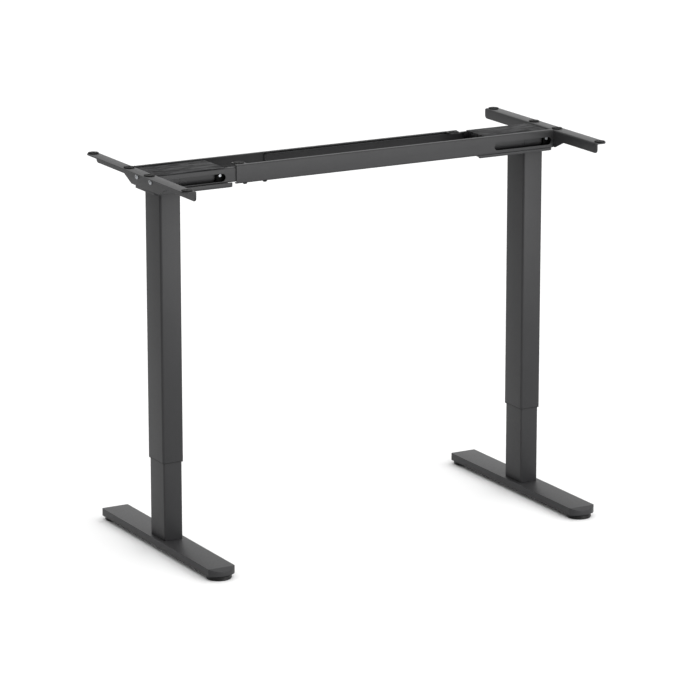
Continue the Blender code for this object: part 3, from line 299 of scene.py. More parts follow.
def moulded(name, dark, light, roughness, grain_mm, depth_mm, ior):
    """Moulded plastic or rubber: an eroded-tool grain of the given size and depth."""
    material, tree = new_material(name)
    where = add_node(tree, "ShaderNodeTexCoord")
    cells = add_node(
        tree, "ShaderNodeTexNoise", values={"Scale": grain(grain_mm), "Detail": 3.0, "Roughness": 0.7},
        links={"Vector": (where, "Object")},
    )
    tone = add_node(
        tree, "ShaderNodeMix", settings={"data_type": "RGBA"},
        values={"A": srgb(dark), "B": srgb(light)}, links={"Factor": (cells, "Fac")},
    )
    gloss = add_node(
        tree, "ShaderNodeMapRange",
        values={"From Min": 0.3, "From Max": 0.7, "To Min": roughness - 0.06, "To Max": roughness + 0.06},
        links={"Value": (cells, "Fac")},
    )
    bump = add_node(
        tree, "ShaderNodeBump", values={"Strength": 0.25, "Distance": depth_mm * MM},
        links={"Height": (cells, "Fac")},
    )
    shader = add_node(
        tree, "ShaderNodeBsdfPrincipled",
        values={"Metallic": 0.0, "IOR": ior, "Specular IOR Level": 0.2},
        links={"Base Color": (tone, "Result"), "Roughness": (gloss, "Result"), "Normal": (bump, "Normal")},
    )
    close_material(tree, shader)
    return material


FINISHES = {
    "coated_steel": powder_coated_steel("charcoal_powder_coated_steel", "#282829", "#2e2e2f", 0.46),
    "textured_cover": streaked_cover_coat("streaked_cover_sheet_with_painted_shade"),
    "zinc_steel": metal("zinc_plated_steel", "#8f9194", "#acaeb1", 0.5, 3.0),
    "motor_can": powder_coated_steel("dark_painted_drive_housing", "#2d2d2e", "#343435", 0.5),
    "black_nylon": moulded("black_nylon_bush", "#141414", "#1a1a1a", 0.45, 1.5, 0.1, 1.53),
    "black_screw": metal("black_oxide_steel", "#1c1c1e", "#2a2a2c", 0.42, 1.5),
    "rubber_pad": moulded("black_nitrile_rubber", "#040404", "#0a0a0a", 0.75, 1.0, 0.3, 1.52),
    "glide_plastic": moulded("black_polypropylene_glide", "#0d0d0d", "#141414", 0.38, 2.0, 0.1, 1.49),
}


# --- mesh helpers --------------------------------------------------------------------------------


def arc(centre, radius, start, end, steps):
    """Points on an arc, both ends included; angles in degrees."""
    points = []
    for step in range(steps + 1):
        angle = math.radians(start + (end - start) * step / steps)
        points.append((centre[0] + radius * math.cos(angle), centre[1] + radius * math.sin(angle)))
    return points


def rounded_rectangle(low, high, radius, steps=8):
    """An outline from its low and high corners, with round corners."""
    corners = (
        (high[0] - radius, high[1] - radius, 0),
        (low[0] + radius, high[1] - radius, 90),
        (low[0] + radius, low[1] + radius, 180),
        (high[0] - radius, low[1] + radius, 270),
    )
    points = []
    for u, v, start in corners:
        points += arc((u, v), radius, start, start + 90, steps)
    return points


def in_space(axis, u, v, along):
    """A point of an outline: (Y, Z) seen along X, (Z, X) seen along Y, (X, Y) seen along Z."""
    return {"X": (along, u, v), "Y": (v, along, u), "Z": (u, v, along)}[axis]


def as_mesh(name, work):
    bmesh.ops.recalc_face_normals(work, faces=work.faces)
    mesh = bpy.data.meshes.new(name)
    work.to_mesh(mesh)
    work.free()
    return mesh


def prism(name, outline, axis, start, end):
    """A bar of one section."""
    work = bmesh.new()
    rings = [[work.verts.new(in_space(axis, u, v, along)) for u, v in outline] for along in (start, end)]
    count = len(outline)
    for index in range(count):
        after = (index + 1) % count
        work.faces.new((rings[0][index], rings[0][after], rings[1][after], rings[1][index]))
    work.faces.new(rings[0])
    work.faces.new(rings[1])
    return as_mesh(name, work)


def tube(name, outside, inside, start, end):
    """An upright tube between two outlines that have as many points each."""
    work = bmesh.new()
    levels = []
    for outline in (outside, inside):
        for height in (start, end):
            levels.append([work.verts.new((u, v, height)) for u, v in outline])
    around = (levels[0], levels[1], levels[3], levels[2])
    count = len(outside)
    for ring, following in zip(around, around[1:] + around[:1]):
        for index in range(count):
            after = (index + 1) % count
            work.faces.new((ring[index], ring[after], following[after], following[index]))
    return as_mesh(name, work)


def lathed(name, profile, steps=64):
    """A closed body of revolution about the Z axis from (radius, height) points."""
    work = bmesh.new()
    rings = []
    for radius, height in profile:
        if radius == 0:
            rings.append([work.verts.new((0, 0, height))])
            continue
        ring = []
        for step in range(steps):
            angle = 2 * math.pi * step / steps
            ring.append(work.verts.new((radius * math.cos(angle), radius * math.sin(angle), height)))
        rings.append(ring)
    for ring, following in zip(rings, rings[1:]):
        for step in range(steps):
            after = (step + 1) % steps
            corners = [ring[step % len(ring)], ring[after % len(ring)]]
            corners += [following[after % len(following)], following[step % len(following)]]
            work.faces.new(list(dict.fromkeys(corners)))
    return as_mesh(name, work)


def shown(mesh):
    """The mesh as an object in the scene."""
    obj = bpy.data.objects.new(mesh.name, mesh)
    bpy.context.scene.collection.objects.link(obj)
    return obj


def baked(obj):
    """The object's evaluated mesh as a plain mesh, with the object and its modifiers removed."""
    graph = bpy.context.evaluated_depsgraph_get()
    mesh = bpy.data.meshes.new_from_object(obj.evaluated_get(graph))
    mesh.name = obj.name
    bpy.data.objects.remove(obj)
    return mesh


def cut(mesh, cutter, operation="DIFFERENCE"):
    """The mesh less the cutter, or with it."""
    obj, other = shown(mesh), shown(cutter)
    boolean = obj.modifiers.new("cut", "BOOLEAN")
    boolean.solver = "EXACT"
    boolean.operation = operation
    boolean.object = other
    made = baked(obj)
    bpy.data.objects.remove(other)
    return made


def smoothed(mesh, angle=40):
    """Shaded smooth over its curves and flat over its flats."""
    mesh.shade_smooth()
    mesh.set_sharp_from_angle(angle=math.radians(angle))
    return mesh


def bevelled(mesh, width, segments=2, angle=35):
    """The mesh with its edges rounded."""
    obj = shown(mesh)
    bevel = obj.modifiers.new("edges", "BEVEL")
    bevel.width = width
    bevel.segments = segments
    bevel.limit_method = "ANGLE"
    bevel.angle_limit = math.radians(angle)
    return smoothed(baked(obj))


def folded_sheet(name, rows, thickness, edge):
    """Sheet metal whose middle surface runs through rows of points, with its edges broken."""
    work = bmesh.new()
    grid = [[work.verts.new(point) for point in row] for row in rows]
    for row, following in zip(grid, grid[1:]):
        for index in range(len(row) - 1):
            work.faces.new((row[index], row[index + 1], following[index + 1], following[index]))
    obj = shown(as_mesh(name, work))
    solidify = obj.modifiers.new("sheet", "SOLIDIFY")
    solidify.thickness = thickness
    solidify.offset = 0.0
    solidify.use_even_offset = True
    return bevelled(baked(obj), edge, 2, 50)


def clean_copy(node):
    """A CAD node's mesh as a new mesh with its triangles merged back into flat faces."""
    work = bmesh.new()
    work.from_mesh(frame["nodes"][node].data)
    bmesh.ops.remove_doubles(work, verts=work.verts, dist=0.00001)
    bmesh.ops.dissolve_limit(
        work, angle_limit=math.radians(0.5), verts=work.verts, edges=work.edges,
        use_dissolve_boundaries=False,
    )
    mesh = bpy.data.meshes.new(node + "_surface")
    work.to_mesh(mesh)
    work.free()
    mesh.materials.clear()
    return mesh


# --- what repeats: pads, bolts and screws --------------------------------------------------------


def new_tree(name, inputs):
    """A Geometry Nodes tree that puts its shape on the points given; inputs are its named sizes."""
    tree = bpy.data.node_groups.new(name, "GeometryNodeTree")
    face = tree.interface
    face.new_socket("Places", in_out="INPUT", socket_type="NodeSocketGeometry")
    for label, kind in inputs:
        face.new_socket(label, in_out="INPUT", socket_type=kind)
    face.new_socket("Finish", in_out="INPUT", socket_type="NodeSocketMaterial")
    face.new_socket("Pieces", in_out="OUTPUT", socket_type="NodeSocketGeometry")
    return tree, add_node(tree, "NodeGroupInput")


def calculated(tree, operation, values=None, links=None):
    """A Math node."""
    return add_node(tree, "ShaderNodeMath", settings={"operation": operation}, values=values, links=links)


def put_on_places(tree, given, shape, output):
    """Ends a tree: the shape on every point, turned by the point's own turn, realised and finished."""
    turn = add_node(
        tree, "GeometryNodeInputNamedAttribute", settings={"data_type": "FLOAT_VECTOR"},
        values={"Name": "turn"},
    )
    spin = add_node(tree, "FunctionNodeEulerToRotation", links={"Euler": (turn, "Attribute")})
    placed = add_node(
        tree, "GeometryNodeInstanceOnPoints",
        links={"Points": (given, "Places"), "Instance": (shape, output), "Rotation": (spin, "Rotation")},
    )
    real = add_node(tree, "GeometryNodeRealizeInstances", links={"Geometry": (placed, "Instances")})
    finish = add_node(
        tree, "GeometryNodeSetMaterial",
        links={"Geometry": (real, "Geometry"), "Material": (given, "Finish")},
    )
    add_node(tree, "NodeGroupOutput", links={"Pieces": (finish, "Geometry")})
    return tree


def pad_tree():
    """A round rubber pad: a ring with soft edges round its bore, and a stem ring below it."""
    sizes = ("Radius", "Height", "Bore", "Edge", "Stem Radius", "Stem Length")
    tree, given = new_tree("round_pad", [(label, "NodeSocketFloat") for label in sizes])
    rings = []
    for radius, height, down in (("Radius", "Height", 0), ("Stem Radius", "Stem Length", 1)):
        total = calculated(tree, "ADD", links={0: (given, radius), 1: (given, "Bore")})
        middle = calculated(tree, "MULTIPLY", values={1: 0.5}, links={0: (total, "Value")})
        width = calculated(tree, "SUBTRACT", links={0: (given, radius), 1: (given, "Bore")})
        circle = add_node(
            tree, "GeometryNodeCurvePrimitiveCircle", values={"Resolution": 48},
            links={"Radius": (middle, "Value")},
        )
        section = add_node(
            tree, "GeometryNodeCurvePrimitiveQuadrilateral",
            links={"Width": (width, "Value"), "Height": (given, height)},
        )
        soft = add_node(
            tree, "GeometryNodeFilletCurve", settings={"mode": "POLY"},
            values={"Count": 3, "Limit Radius": True},
            links={"Curve": (section, "Curve"), "Radius": (given, "Edge")},
        )
        sweep = add_node(
            tree, "GeometryNodeCurveToMesh",
            links={"Curve": (circle, "Curve"), "Profile Curve": (soft, "Curve")},
        )
        half = calculated(
            tree, "MULTIPLY", values={1: -0.5 if down else 0.5}, links={0: (given, height)}
        )
        lift = add_node(tree, "ShaderNodeCombineXYZ", links={"Z": (half, "Value")})
        rings.append(add_node(
            tree, "GeometryNodeTransform",
            links={"Geometry": (sweep, "Mesh"), "Translation": (lift, "Vector")},
        ))
    both = tree.nodes.new("GeometryNodeJoinGeometry")
    for ring in rings:
        tree.links.new(ring.outputs["Geometry"], both.inputs["Geometry"])
    return put_on_places(tree, given, both, "Geometry")


def screw_tree():
    """A domed head with a straight-sided recess in it, and a plain shank below."""
    sizes = ("Head Radius", "Head Height", "Recess Radius", "Recess Depth", "Shank Radius", "Shank Length")
    inputs = [(label, "NodeSocketFloat") for label in sizes] + [("Recess Sides", "NodeSocketInt")]
    tree, given = new_tree("headed_screw", inputs)
    blank = add_node(
        tree, "GeometryNodeMeshCylinder", values={"Vertices": 36, "Side Segments": 6, "Radius": 1.0},
        links={"Depth": (given, "Head Height")},
    )
    half = calculated(tree, "MULTIPLY", values={1: 0.5}, links={0: (given, "Head Height")})
    where = add_node(tree, "GeometryNodeInputPosition")
    parts = add_node(tree, "ShaderNodeSeparateXYZ", links={"Vector": (where, "Position")})
    height = calculated(tree, "ADD", links={0: (parts, "Z"), 1: (half, "Value")})
    share = calculated(tree, "DIVIDE", links={0: (height, "Value"), 1: (given, "Head Height")})
    # the dome: full width at the seat, less towards the top, more and more steeply
    power = calculated(tree, "POWER", values={1: 2.4}, links={0: (share, "Value")})
    taper = calculated(tree, "MULTIPLY_ADD", values={1: -0.30, 2: 1.0}, links={0: (power, "Value")})
    reach = calculated(tree, "MULTIPLY", links={0: (taper, "Value"), 1: (given, "Head Radius")})
    wide = calculated(tree, "MULTIPLY", links={0: (parts, "X"), 1: (reach, "Value")})
    deep = calculated(tree, "MULTIPLY", links={0: (parts, "Y"), 1: (reach, "Value")})
    domed = add_node(
        tree, "ShaderNodeCombineXYZ",
        links={"X": (wide, "Value"), "Y": (deep, "Value"), "Z": (height, "Value")},
    )
    head = add_node(
        tree, "GeometryNodeSetPosition",
        links={"Geometry": (blank, "Mesh"), "Position": (domed, "Vector")},
    )
    twice = calculated(tree, "MULTIPLY", values={1: 2.0}, links={0: (given, "Recess Depth")})
    bit = add_node(
        tree, "GeometryNodeMeshCylinder",
        links={
            "Vertices": (given, "Recess Sides"), "Radius": (given, "Recess Radius"),
            "Depth": (twice, "Value"),
        },
    )
    top = add_node(tree, "ShaderNodeCombineXYZ", links={"Z": (given, "Head Height")})
    raised = add_node(
        tree, "GeometryNodeTransform",
        links={"Geometry": (bit, "Mesh"), "Translation": (top, "Vector")},
    )
    driven = add_node(
        tree, "GeometryNodeMeshBoolean", settings={"operation": "DIFFERENCE"},
        links={"Mesh 1": (head, "Geometry"), "Mesh 2": (raised, "Geometry")},
    )
    shank = add_node(
        tree, "GeometryNodeMeshCylinder", values={"Vertices": 24},
        links={"Radius": (given, "Shank Radius"), "Depth": (given, "Shank Length")},
    )
    sunk = calculated(tree, "MULTIPLY", values={1: -0.5}, links={0: (given, "Shank Length")})
    below = add_node(tree, "ShaderNodeCombineXYZ", links={"Z": (sunk, "Value")})
    lowered = add_node(
        tree, "GeometryNodeTransform",
        links={"Geometry": (shank, "Mesh"), "Translation": (below, "Vector")},
    )
    both = tree.nodes.new("GeometryNodeJoinGeometry")
    tree.links.new(driven.outputs["Mesh"], both.inputs["Geometry"])
    tree.links.new(lowered.outputs["Geometry"], both.inputs["Geometry"])
    return put_on_places(tree, given, both, "Geometry")


def repeated(name, tree, places, sizes, slot):
    """One mesh of a tree's shape on all the places, each a point and a turn about X, Y and Z."""
    mesh = bpy.data.meshes.new(name)
    mesh.from_pydata([place for place, _ in places], [], [])
    turns = mesh.attributes.new("turn", "FLOAT_VECTOR", "POINT")
    for entry, (_, turn) in zip(turns.data, places):
        entry.vector = [math.radians(angle) for angle in turn]
    obj = shown(mesh)
    modifier = obj.modifiers.new("repeat", "NODES")
    modifier.node_group = tree
    sockets = {item.name: item.identifier for item in tree.interface.items_tree if item.in_out == "INPUT"}
    for label, value in sizes.items():
        modifier[sockets[label]] = value
    modifier[sockets["Finish"]] = FINISHES[slot]
    return smoothed(baked(obj), 35)


# --- pieces --------------------------------------------------------------------------------------


def add_piece(name, mesh, body, slot, stands_for):
    """Puts a finished mesh on a body, in the finish of a record slot, in place of CAD nodes."""
    mesh.materials.clear()
    mesh.materials.append(FINISHES[slot])
    piece = bpy.data.objects.new(name, mesh)
    bpy.context.scene.collection.objects.link(piece)
    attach(piece, body)
    if stands_for:
        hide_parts(*stands_for)


def add_both(name, mesh, body, slot, stands_for):
    """A left piece, and the right one as its copy turned half a turn about Z."""
    turned = mesh.copy()
    turned.transform(HALF_TURN)
    add_piece("left_" + name, mesh, "left_" + body, slot, ["left_" + n for n in stands_for])
    right_nodes = ["right_" + n for n in stands_for]
    add_piece("right_" + name, turned, "right_" + body, slot, right_nodes)


def middle_of(node):
    """The middle of a CAD node's box."""
    low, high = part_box(node)
    return Vector([(low[axis] + high[axis]) / 2 for axis in range(3)])


def make_columns():
    """Rectangular tubes with rolled corners, and the bush in the outer one's mouth."""
    for node, body, wall, radius in (
        ("outer_column", "upper", OUTER_WALL, OUTER_RADIUS),
        ("inner_column", "base", INNER_WALL, INNER_RADIUS),
    ):
        low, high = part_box("left_" + node)
        outside = rounded_rectangle(low, high, radius)
        inside_low, inside_high = (low[0] + wall, low[1] + wall), (high[0] - wall, high[1] - wall)
        inside = rounded_rectangle(inside_low, inside_high, radius - wall * 0.8)
        mesh = tube(node, outside, inside, low[2], high[2])
        add_both(node, bevelled(mesh, 0.35 * MM), body, "coated_steel", [node])
    low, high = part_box("left_mouth_bush")
    tube_low, tube_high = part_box("left_inner_column")
    gap = SLIDE_GAP
    outside = rounded_rectangle(low, high, OUTER_RADIUS)
    inside = rounded_rectangle(
        (tube_low[0] - gap, tube_low[1] - gap), (tube_high[0] + gap, tube_high[1] + gap), INNER_RADIUS
    )
    rim_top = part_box("left_outer_column")[0][2] - TOUCH_GAP
    rim = tube("mouth_bush", outside, inside, low[2], rim_top)
    wall = OUTER_WALL + gap
    sleeve_outside = rounded_rectangle(
        (low[0] + wall, low[1] + wall), (high[0] - wall, high[1] - wall), OUTER_RADIUS - OUTER_WALL * 0.8
    )
    sleeve = tube("mouth_bush_sleeve", sleeve_outside, inside, (low[2] + rim_top) / 2, high[2])
    add_both("mouth_bush", smoothed(cut(rim, sleeve, "UNION")), "upper", "black_nylon", ["mouth_bush"])


def foot_outline(half_width, half_length, radius):
    """Straight sides, a small round at each corner and a wide bow across each nose."""
    turn = FOOT_NOSE_TURN
    bow = (half_width - radius) / math.cos(math.radians(turn)) + radius
    bow_y = half_length - bow
    corner = (half_width - radius, bow_y + (bow - radius) * math.sin(math.radians(turn)))
    end = arc(corner, radius, 0, turn, 4)[:-1]
    end += arc((0, bow_y), bow, turn, 180 - turn, 16)[:-1]
    end += arc((-corner[0], corner[1]), radius, 180 - turn, 180, 4)
    return end + [(-x, -y) for x, y in end]


def make_foot():
    """Pressed steel bar foot: bowed nose, top sloping down to it, open below round the glides."""
    low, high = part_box("left_foot")
    centre = middle_of("left_foot")
    half_width, half_length = (high[0] - low[0]) / 2, (high[1] - low[1]) / 2
    outline = [(centre.x + x, centre.y + y) for x, y in foot_outline(half_width, half_length, FOOT_CORNER)]
    body = prism("foot", outline, "Z", low[2], high[2])
    work = bmesh.new()
    work.from_mesh(body)
    slope_y = half_length - FOOT_SLOPE_LENGTH
    for end in (1, -1):
        normal = Vector((0, end * FOOT_SLOPE_DROP, FOOT_SLOPE_LENGTH))
        sliced = bmesh.ops.bisect_plane(
            work, geom=work.verts[:] + work.edges[:] + work.faces[:],
            plane_co=(0, centre.y + end * slope_y, high[2]), plane_no=normal, clear_outer=True,
        )
        rim = [item for item in sliced["geom_cut"] if isinstance(item, bmesh.types.BMEdge)]
        bmesh.ops.edgeloop_fill(work, edges=rim)
    body = bevelled(as_mesh("foot", work), 1.3 * MM, 3, 20)
    wall = FOOT_WALL
    pocket_top = high[2] - wall
    pocket = prism(
        "foot_pocket",
        rounded_rectangle(
            (low[0] + wall, centre.y - slope_y + wall), (high[0] - wall, centre.y + slope_y - wall), 4 * MM
        ),
        "Z", low[2] - CUT_PAST, pocket_top,
    )
    for end in ("front", "rear"):
        glide = middle_of(f"left_{end}_glide")
        ring = arc((glide.x, glide.y), FOOT_BOSS_RADIUS, 0, 360, 32)[:-1]
        pocket = cut(pocket, prism("boss", ring, "Z", low[2] - 2 * CUT_PAST, high[2] + CUT_PAST))
    body = cut(body, pocket)
    for end in ("front", "rear"):
        glide = middle_of(f"left_{end}_glide")
        ring = arc((glide.x, glide.y), STUD_RADIUS + TOUCH_GAP, 0, 360, 32)[:-1]
        body = cut(body, prism("stud_hole", ring, "Z", low[2] - CUT_PAST, pocket_top))
    add_both("foot", smoothed(body), "base", "coated_steel", ["foot"])
    places = [
        ((centre.x + x, centre.y + y, pocket_top), HEAD_DOWN) for x, y in FOOT_BOLT_PLACES
    ]
    bolts = repeated("foot_bolts", SCREW_TREE, places, FOOT_BOLT, "black_screw")
    add_both("foot_bolts", bolts, "base", "black_screw", [])


def make_glides():
    """Round moulded glide: rolled lower edge, a ridge round its side and the stud up its middle."""
    for end in ("front", "rear"):
        node = f"left_{end}_glide"
        low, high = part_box(node)
        centre = middle_of(node)
        radius = (high[0] - low[0]) / 2
        top = GLIDE_TOP
        profile = [(0, 0), (radius - 4.2 * MM, 0)]
        profile += [(radius - 2.6 * MM + x, y) for x, y in arc((0, 2.6 * MM), 2.6 * MM, -80, 0, 6)]
        profile += [(radius, 4.6 * MM), (radius - 0.7 * MM, 5.2 * MM), (radius - 0.7 * MM, 5.9 * MM)]
        profile += [(radius - 0.4 * MM, 6.3 * MM), (radius - 0.4 * MM, top - 1.6 * MM)]
        profile += [(radius - 0.9 * MM, top - 0.6 * MM), (radius - 2.2 * MM, top)]
        profile += [(STUD_RADIUS + 4 * MM, top), (STUD_RADIUS, top), (STUD_RADIUS, high[2]), (0, high[2])]
        mesh = lathed(node, profile)
        mesh.transform(Matrix.Translation((centre.x, centre.y, 0)))
        right_end = "rear" if end == "front" else "front"
        turned = smoothed(mesh.copy(), 50)
        turned.transform(HALF_TURN)
        add_piece(node + "_moulding", smoothed(mesh, 50), f"left_{end}_foot_glide", "glide_plastic", [node])
        right_node = f"right_{right_end}_glide"
        right_body = f"right_{right_end}_foot_glide"
        add_piece(right_node + "_moulding", turned, right_body, "glide_plastic", [right_node])


def channel_section(low, high, lip, inward):
    """A bent channel's (Y, Z) outline, its back outward and its lips turned inward."""
    sheet, bend = RAIL_SHEET, RAIL_BEND
    height = high[2] - low[2]
    points = [(lip, 0)]
    points += [(bend - x, bend - y) for x, y in arc((0, 0), bend, 90, 0, 6)]
    points += [(bend - x, height - bend + y) for x, y in arc((0, 0), bend, 0, 90, 6)]
    points += [(lip, height), (lip, height - sheet)]
    inner = bend - sheet
    points += [(bend - x, height - bend + y) for x, y in arc((0, 0), inner, 90, 0, 4)]
    points += [(bend - x, bend - y) for x, y in arc((0, 0), inner, 0, 90, 4)]
    points += [(lip, sheet)]
    back = high[1] if inward < 0 else low[1]
    return [(back + inward * u, low[2] + v) for u, v in points]


def slot_cutter(name, low_x, high_x, middle_z, back_y):
    """A long slot with round ends, through the back of a rail."""
    radius = SLOT_HEIGHT / 2
    outline = arc((middle_z, high_x - radius), radius, 0, 180, 16)
    outline += arc((middle_z, low_x + radius), radius, 180, 360, 16)
    return prism(name, outline, "Y", back_y - CUT_PAST, back_y + CUT_PAST)


def make_rails():
    """Roll-formed steel channels with their long slots; the long one ends in a tab for a pad."""
    low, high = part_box("left_short_rail")
    section = channel_section(low, high, high[1] - low[1], 1)
    rail = prism("short_rail", section, "X", low[0], high[0])
    slot_z = low[2] + SLOT_LIFT
    cutter = slot_cutter("short_slot", LEG_X + SHORT_SLOT[0], LEG_X + SHORT_SLOT[1], slot_z, low[1])
    rail = bevelled(cut(rail, cutter), CUT_EDGE, 1, 50)
    add_both("short_rail", rail, "upper", "coated_steel", ["short_rail"])
    low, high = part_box("left_long_rail")
    section = channel_section(low, high, RAIL_LIP, -1)
    rail = prism("long_rail", section, "X", low[0], high[0])
    cutter = slot_cutter(
        "long_slot", low[0] + LONG_SLOT_SETBACK, LEG_X + LONG_SLOT_END, slot_z, high[1]
    )
    rail = cut(rail, cutter)
    pad = middle_of("left_rail_end_pad")
    edge = high[1] - RAIL_LIP
    outline = rounded_rectangle(
        (pad.x - TAB_HALF, low[1]), (pad.x + TAB_HALF, edge + TAB_OVERLAP), TAB_RADIUS
    )
    tab = prism("tab", outline, "Z", high[2] - RAIL_SHEET, high[2])
    rail = bevelled(cut(rail, tab, "UNION"), CUT_EDGE, 1, 50)
    add_both("long_rail", rail, "upper", "coated_steel", ["long_rail"])


def make_bracket():
    """Folded side bracket: a web with a deeper middle and an outward flange with round corners."""
    low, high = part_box("left_side_bracket")
    half = BRACKET_SHEET / 2
    bend = BRACKET_BEND
    flange_z, web_x = high[2] - half, high[0] - half
    low_y, high_y = low[1], high[1]
    middle_y = (low_y + high_y) / 2
    half_length = (high_y - low_y) / 2
    stations = {0.0}
    for radius in (BRACKET_FLANGE_RADIUS, BRACKET_WEB_RADIUS):
        for step in range(9):
            stations.add(half_length - radius + radius * math.sin(math.radians(90 * step / 8)))
    for reach in (BRACKET_DEEP_TOP, BRACKET_DEEP_BOTTOM):
        stations.add(reach)
    reaches = sorted(stations)
    deep = high[2] - low[2]

    def corner_rise(reach, radius):
        """How far a round corner has drawn the edge in, at a distance from the bracket's middle."""
        past = max(0.0, reach - (half_length - radius))
        return radius - math.sqrt(max(0.0, radius * radius - past * past))

    rows = []
    for place in [-reach for reach in reversed(reaches) if reach > 0] + reaches:
        reach = abs(place)
        outer_x = low[0] + corner_rise(reach, BRACKET_FLANGE_RADIUS)
        if reach <= BRACKET_DEEP_BOTTOM:
            depth = deep
        elif reach >= BRACKET_DEEP_TOP:
            depth = BRACKET_WEB_DEPTH
        else:
            share = (reach - BRACKET_DEEP_BOTTOM) / (BRACKET_DEEP_TOP - BRACKET_DEEP_BOTTOM)
            depth = deep + (BRACKET_WEB_DEPTH - deep) * share
        bottom_z = high[2] - depth + corner_rise(reach, BRACKET_WEB_RADIUS)
        section = [(outer_x, flange_z)]
        section += arc((web_x - bend, flange_z - bend), bend, 90, 0, 6)
        section += [(web_x, bottom_z)]
        rows.append([(x, middle_y + place, z) for x, z in section])
    sheet = folded_sheet("side_bracket", rows, BRACKET_SHEET, 0.5 * MM)
    add_both("side_bracket", sheet, "upper", "coated_steel", ["side_bracket"])


def make_pads():
    """Rubber pads on the side bracket and on the long rail's tab."""
    pad_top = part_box("left_top_pad_1")[1][2]
    for label, nodes, below in (
        ("top_pads", [f"top_pad_{number}" for number in (1, 2, 3, 4)], "left_side_bracket"),
        ("rail_end_pad", ["rail_end_pad"], "left_long_rail"),
    ):
        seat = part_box(below)[1][2] + TOUCH_GAP
        sizes = {
            "Radius": PAD_RADIUS, "Height": pad_top - seat, "Bore": PAD_BORE, "Edge": PAD_EDGE,
            "Stem Radius": PAD_STEM_RADIUS, "Stem Length": PAD_STEM_LENGTH,
        }
        centres = [middle_of("left_" + node) for node in nodes]
        places = [((centre.x, centre.y, seat), (0, 0, 0)) for centre in centres]
        mesh = repeated(label, PAD_TREE, places, sizes, "rubber_pad")
        add_both(label, mesh, "upper", "rubber_pad", nodes)


def make_screws():
    """The bracket's bolts, the cover's screws and the lock screws under the long rail."""
    web_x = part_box("left_side_bracket")[1][0] - BRACKET_SHEET
    bolts = [middle_of(f"left_bracket_bolt_{number}") for number in (1, 2)]
    places = [((web_x - TOUCH_GAP, bolt.y, bolt.z), (0, -90, 0)) for bolt in bolts]
    mesh = repeated("bracket_bolts", SCREW_TREE, places, BRACKET_BOLT, "zinc_steel")
    add_both("bracket_bolts", mesh, "upper", "zinc_steel", ["bracket_bolt_1", "bracket_bolt_2"])
    places = []
    for number, direction in ((1, -1), (2, 1)):
        low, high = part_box(f"left_cover_screw_{number}")
        centre = middle_of(f"left_cover_screw_{number}")
        head = COVER_SCREW["Head Height"]
        seat = low[1] + head if direction < 0 else high[1] - head
        places.append(((centre.x, seat, centre.z), (-direction * 90, 0, 0)))
    mesh = repeated("cover_screws", SCREW_TREE, places, COVER_SCREW, "zinc_steel")
    add_both("cover_screws", mesh, "upper", "zinc_steel", ["cover_screw_1", "cover_screw_2"])
    places = []
    for number in (1, 2):
        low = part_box(f"left_lock_screw_{number}")[0]
        centre = middle_of(f"left_lock_screw_{number}")
        places.append(((centre.x, centre.y, low[2] + LOCK_SCREW["Head Height"]), HEAD_DOWN))
    mesh = repeated("lock_screws", SCREW_TREE, places, LOCK_SCREW, "black_screw")
    add_both("lock_screws", mesh, "upper", "black_screw", ["lock_screw_1", "lock_screw_2"])


def make_drive():
    """Die-cast housings, both round-sided: the gearbox's, and the motor's with its stepped end."""
    for node in ("gearbox", "motor"):
        low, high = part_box("left_" + node)
        start, end = low[0], high[0]
        outline = rounded_rectangle((low[1], low[2]), (high[1], high[2]), DRIVE_RADIUS, 10)
        if node == "gearbox":
            housing = prism(node, outline, "X", start, end)
        else:
            step, inset = MOTOR_END_LENGTH, MOTOR_END_INSET
            small_low, small_high = (low[1] + inset, low[2] + inset), (high[1] - inset, high[2] - inset)
            small = rounded_rectangle(small_low, small_high, DRIVE_RADIUS - inset, 10)
            stepped_end = prism("motor_end", small, "X", end - 2 * step, end)
            housing = cut(prism(node, outline, "X", start, end - step), stepped_end, "UNION")
        add_both(node, bevelled(housing, CUT_EDGE, 1), "upper", "motor_can", [node])


# the node, its body, and how much its edges are broken in millimetres
PLAIN_NODES = (
    ("head_saddle", "upper", 0.6), ("motor_cover", "upper", 0.4), ("column_base", "base", 0.5),
    ("nut_tube", "base", 0.4), ("screw_nut", "base", 0.5), ("top_bush", "base", 0.4),
    ("lead_screw", "drive_screw", 0.4),
)


def make_plain_pieces():
    """The pieces whose CAD shape is right, with their edges broken as the real ones are."""
    slot_of = {entry["node"]: entry["material_slot"] for entry in frame["record"]["subparts"]}
    for node, body, edge in PLAIN_NODES:
        mesh = bevelled(clean_copy("left_" + node), edge * MM)
        add_both(node, mesh, body, slot_of["left_" + node], [node])


# --- stage ---------------------------------------------------------------------------------------


def make_floor():
    """A plain white studio floor."""
    bpy.ops.mesh.primitive_plane_add(size=FLOOR_SIDE)
    floor = bpy.context.object
    floor.name = "studio_floor"
    material, tree = new_material("matt_white_floor_paint")
    shader = add_node(
        tree, "ShaderNodeBsdfPrincipled",
        values={"Base Color": srgb("#e3e3e3"), "Roughness": 0.9, "Specular IOR Level": 0.1},
    )
    close_material(tree, shader)
    floor.data.materials.append(material)


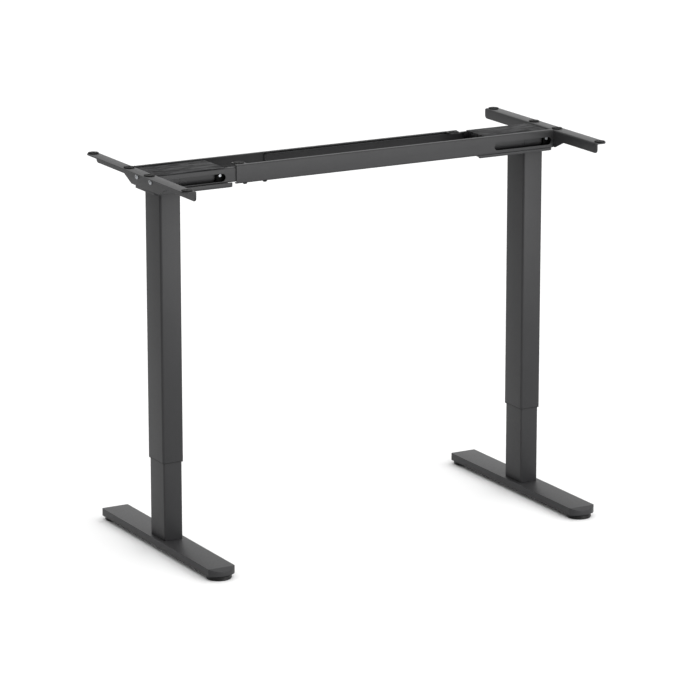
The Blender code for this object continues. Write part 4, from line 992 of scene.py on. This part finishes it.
def make_walls():
    """White studio walls lit from the right, so that they are dimmer on the left."""
    world = bpy.data.worlds.new("white_studio")
    bpy.context.scene.world = world
    world.use_nodes = True
    tree = world.node_tree
    background = tree.nodes["Background"]
    background.inputs["Color"].default_value = (1, 1, 1, 1)
    direction = add_node(tree, "ShaderNodeTexCoord")
    across = add_node(tree, "ShaderNodeSeparateXYZ", links={"Vector": (direction, "Generated")})
    wall_light = add_node(
        tree, "ShaderNodeMapRange",
        values={"From Min": -1.0, "From Max": 1.0, "To Min": WALLS_ON_LEFT, "To Max": WALLS_ON_RIGHT},
        links={"Value": (across, "X")},
    )
    tree.links.new(wall_light.outputs["Result"], background.inputs["Strength"])


def make_lamps():
    """A diffuser over the whole ceiling, and a softbox in front on the right."""
    ceiling = bpy.data.lights.new("ceiling_diffuser", "SUN")
    ceiling.energy = CEILING_LIGHT
    ceiling.angle = CEILING_SPREAD
    bpy.context.scene.collection.objects.link(bpy.data.objects.new("ceiling_diffuser", ceiling))
    softbox = bpy.data.lights.new("front_softbox", "AREA")
    softbox.size = SOFTBOX_SIDE
    softbox.energy = SOFTBOX_WATTS
    lamp = bpy.data.objects.new("front_softbox", softbox)
    bpy.context.scene.collection.objects.link(lamp)
    lamp.location = SOFTBOX_PLACE
    lamp.rotation_euler = (SOFTBOX_TARGET - SOFTBOX_PLACE).to_track_quat("-Z", "Y").to_euler()


def make_camera():
    """The camera, aimed by its azimuth and elevation at a point of the frame."""
    camera = bpy.data.objects.new("camera", bpy.data.cameras.new("camera"))
    bpy.context.scene.collection.objects.link(camera)
    towards = Vector((
        math.cos(VIEW_ELEVATION) * math.sin(VIEW_AZIMUTH),
        -math.cos(VIEW_ELEVATION) * math.cos(VIEW_AZIMUTH),
        math.sin(VIEW_ELEVATION),
    ))
    camera.location = VIEW_TARGET + towards * VIEW_DISTANCE
    camera.rotation_euler = (-towards).to_track_quat("-Z", "Y").to_euler()
    camera.data.lens = VIEW_LENS
    camera.data.sensor_width = VIEW_SENSOR
    camera.data.clip_end = VIEW_LIMIT
    bpy.context.scene.camera = camera


make_camera()
make_walls()
make_lamps()
make_floor()
PAD_TREE = pad_tree()
SCREW_TREE = screw_tree()
make_columns()
make_foot()
make_glides()
make_rails()
make_bracket()
make_pads()
make_screws()
make_drive()
make_plain_pieces()
bpy.context.scene.view_settings.view_transform = "Standard"
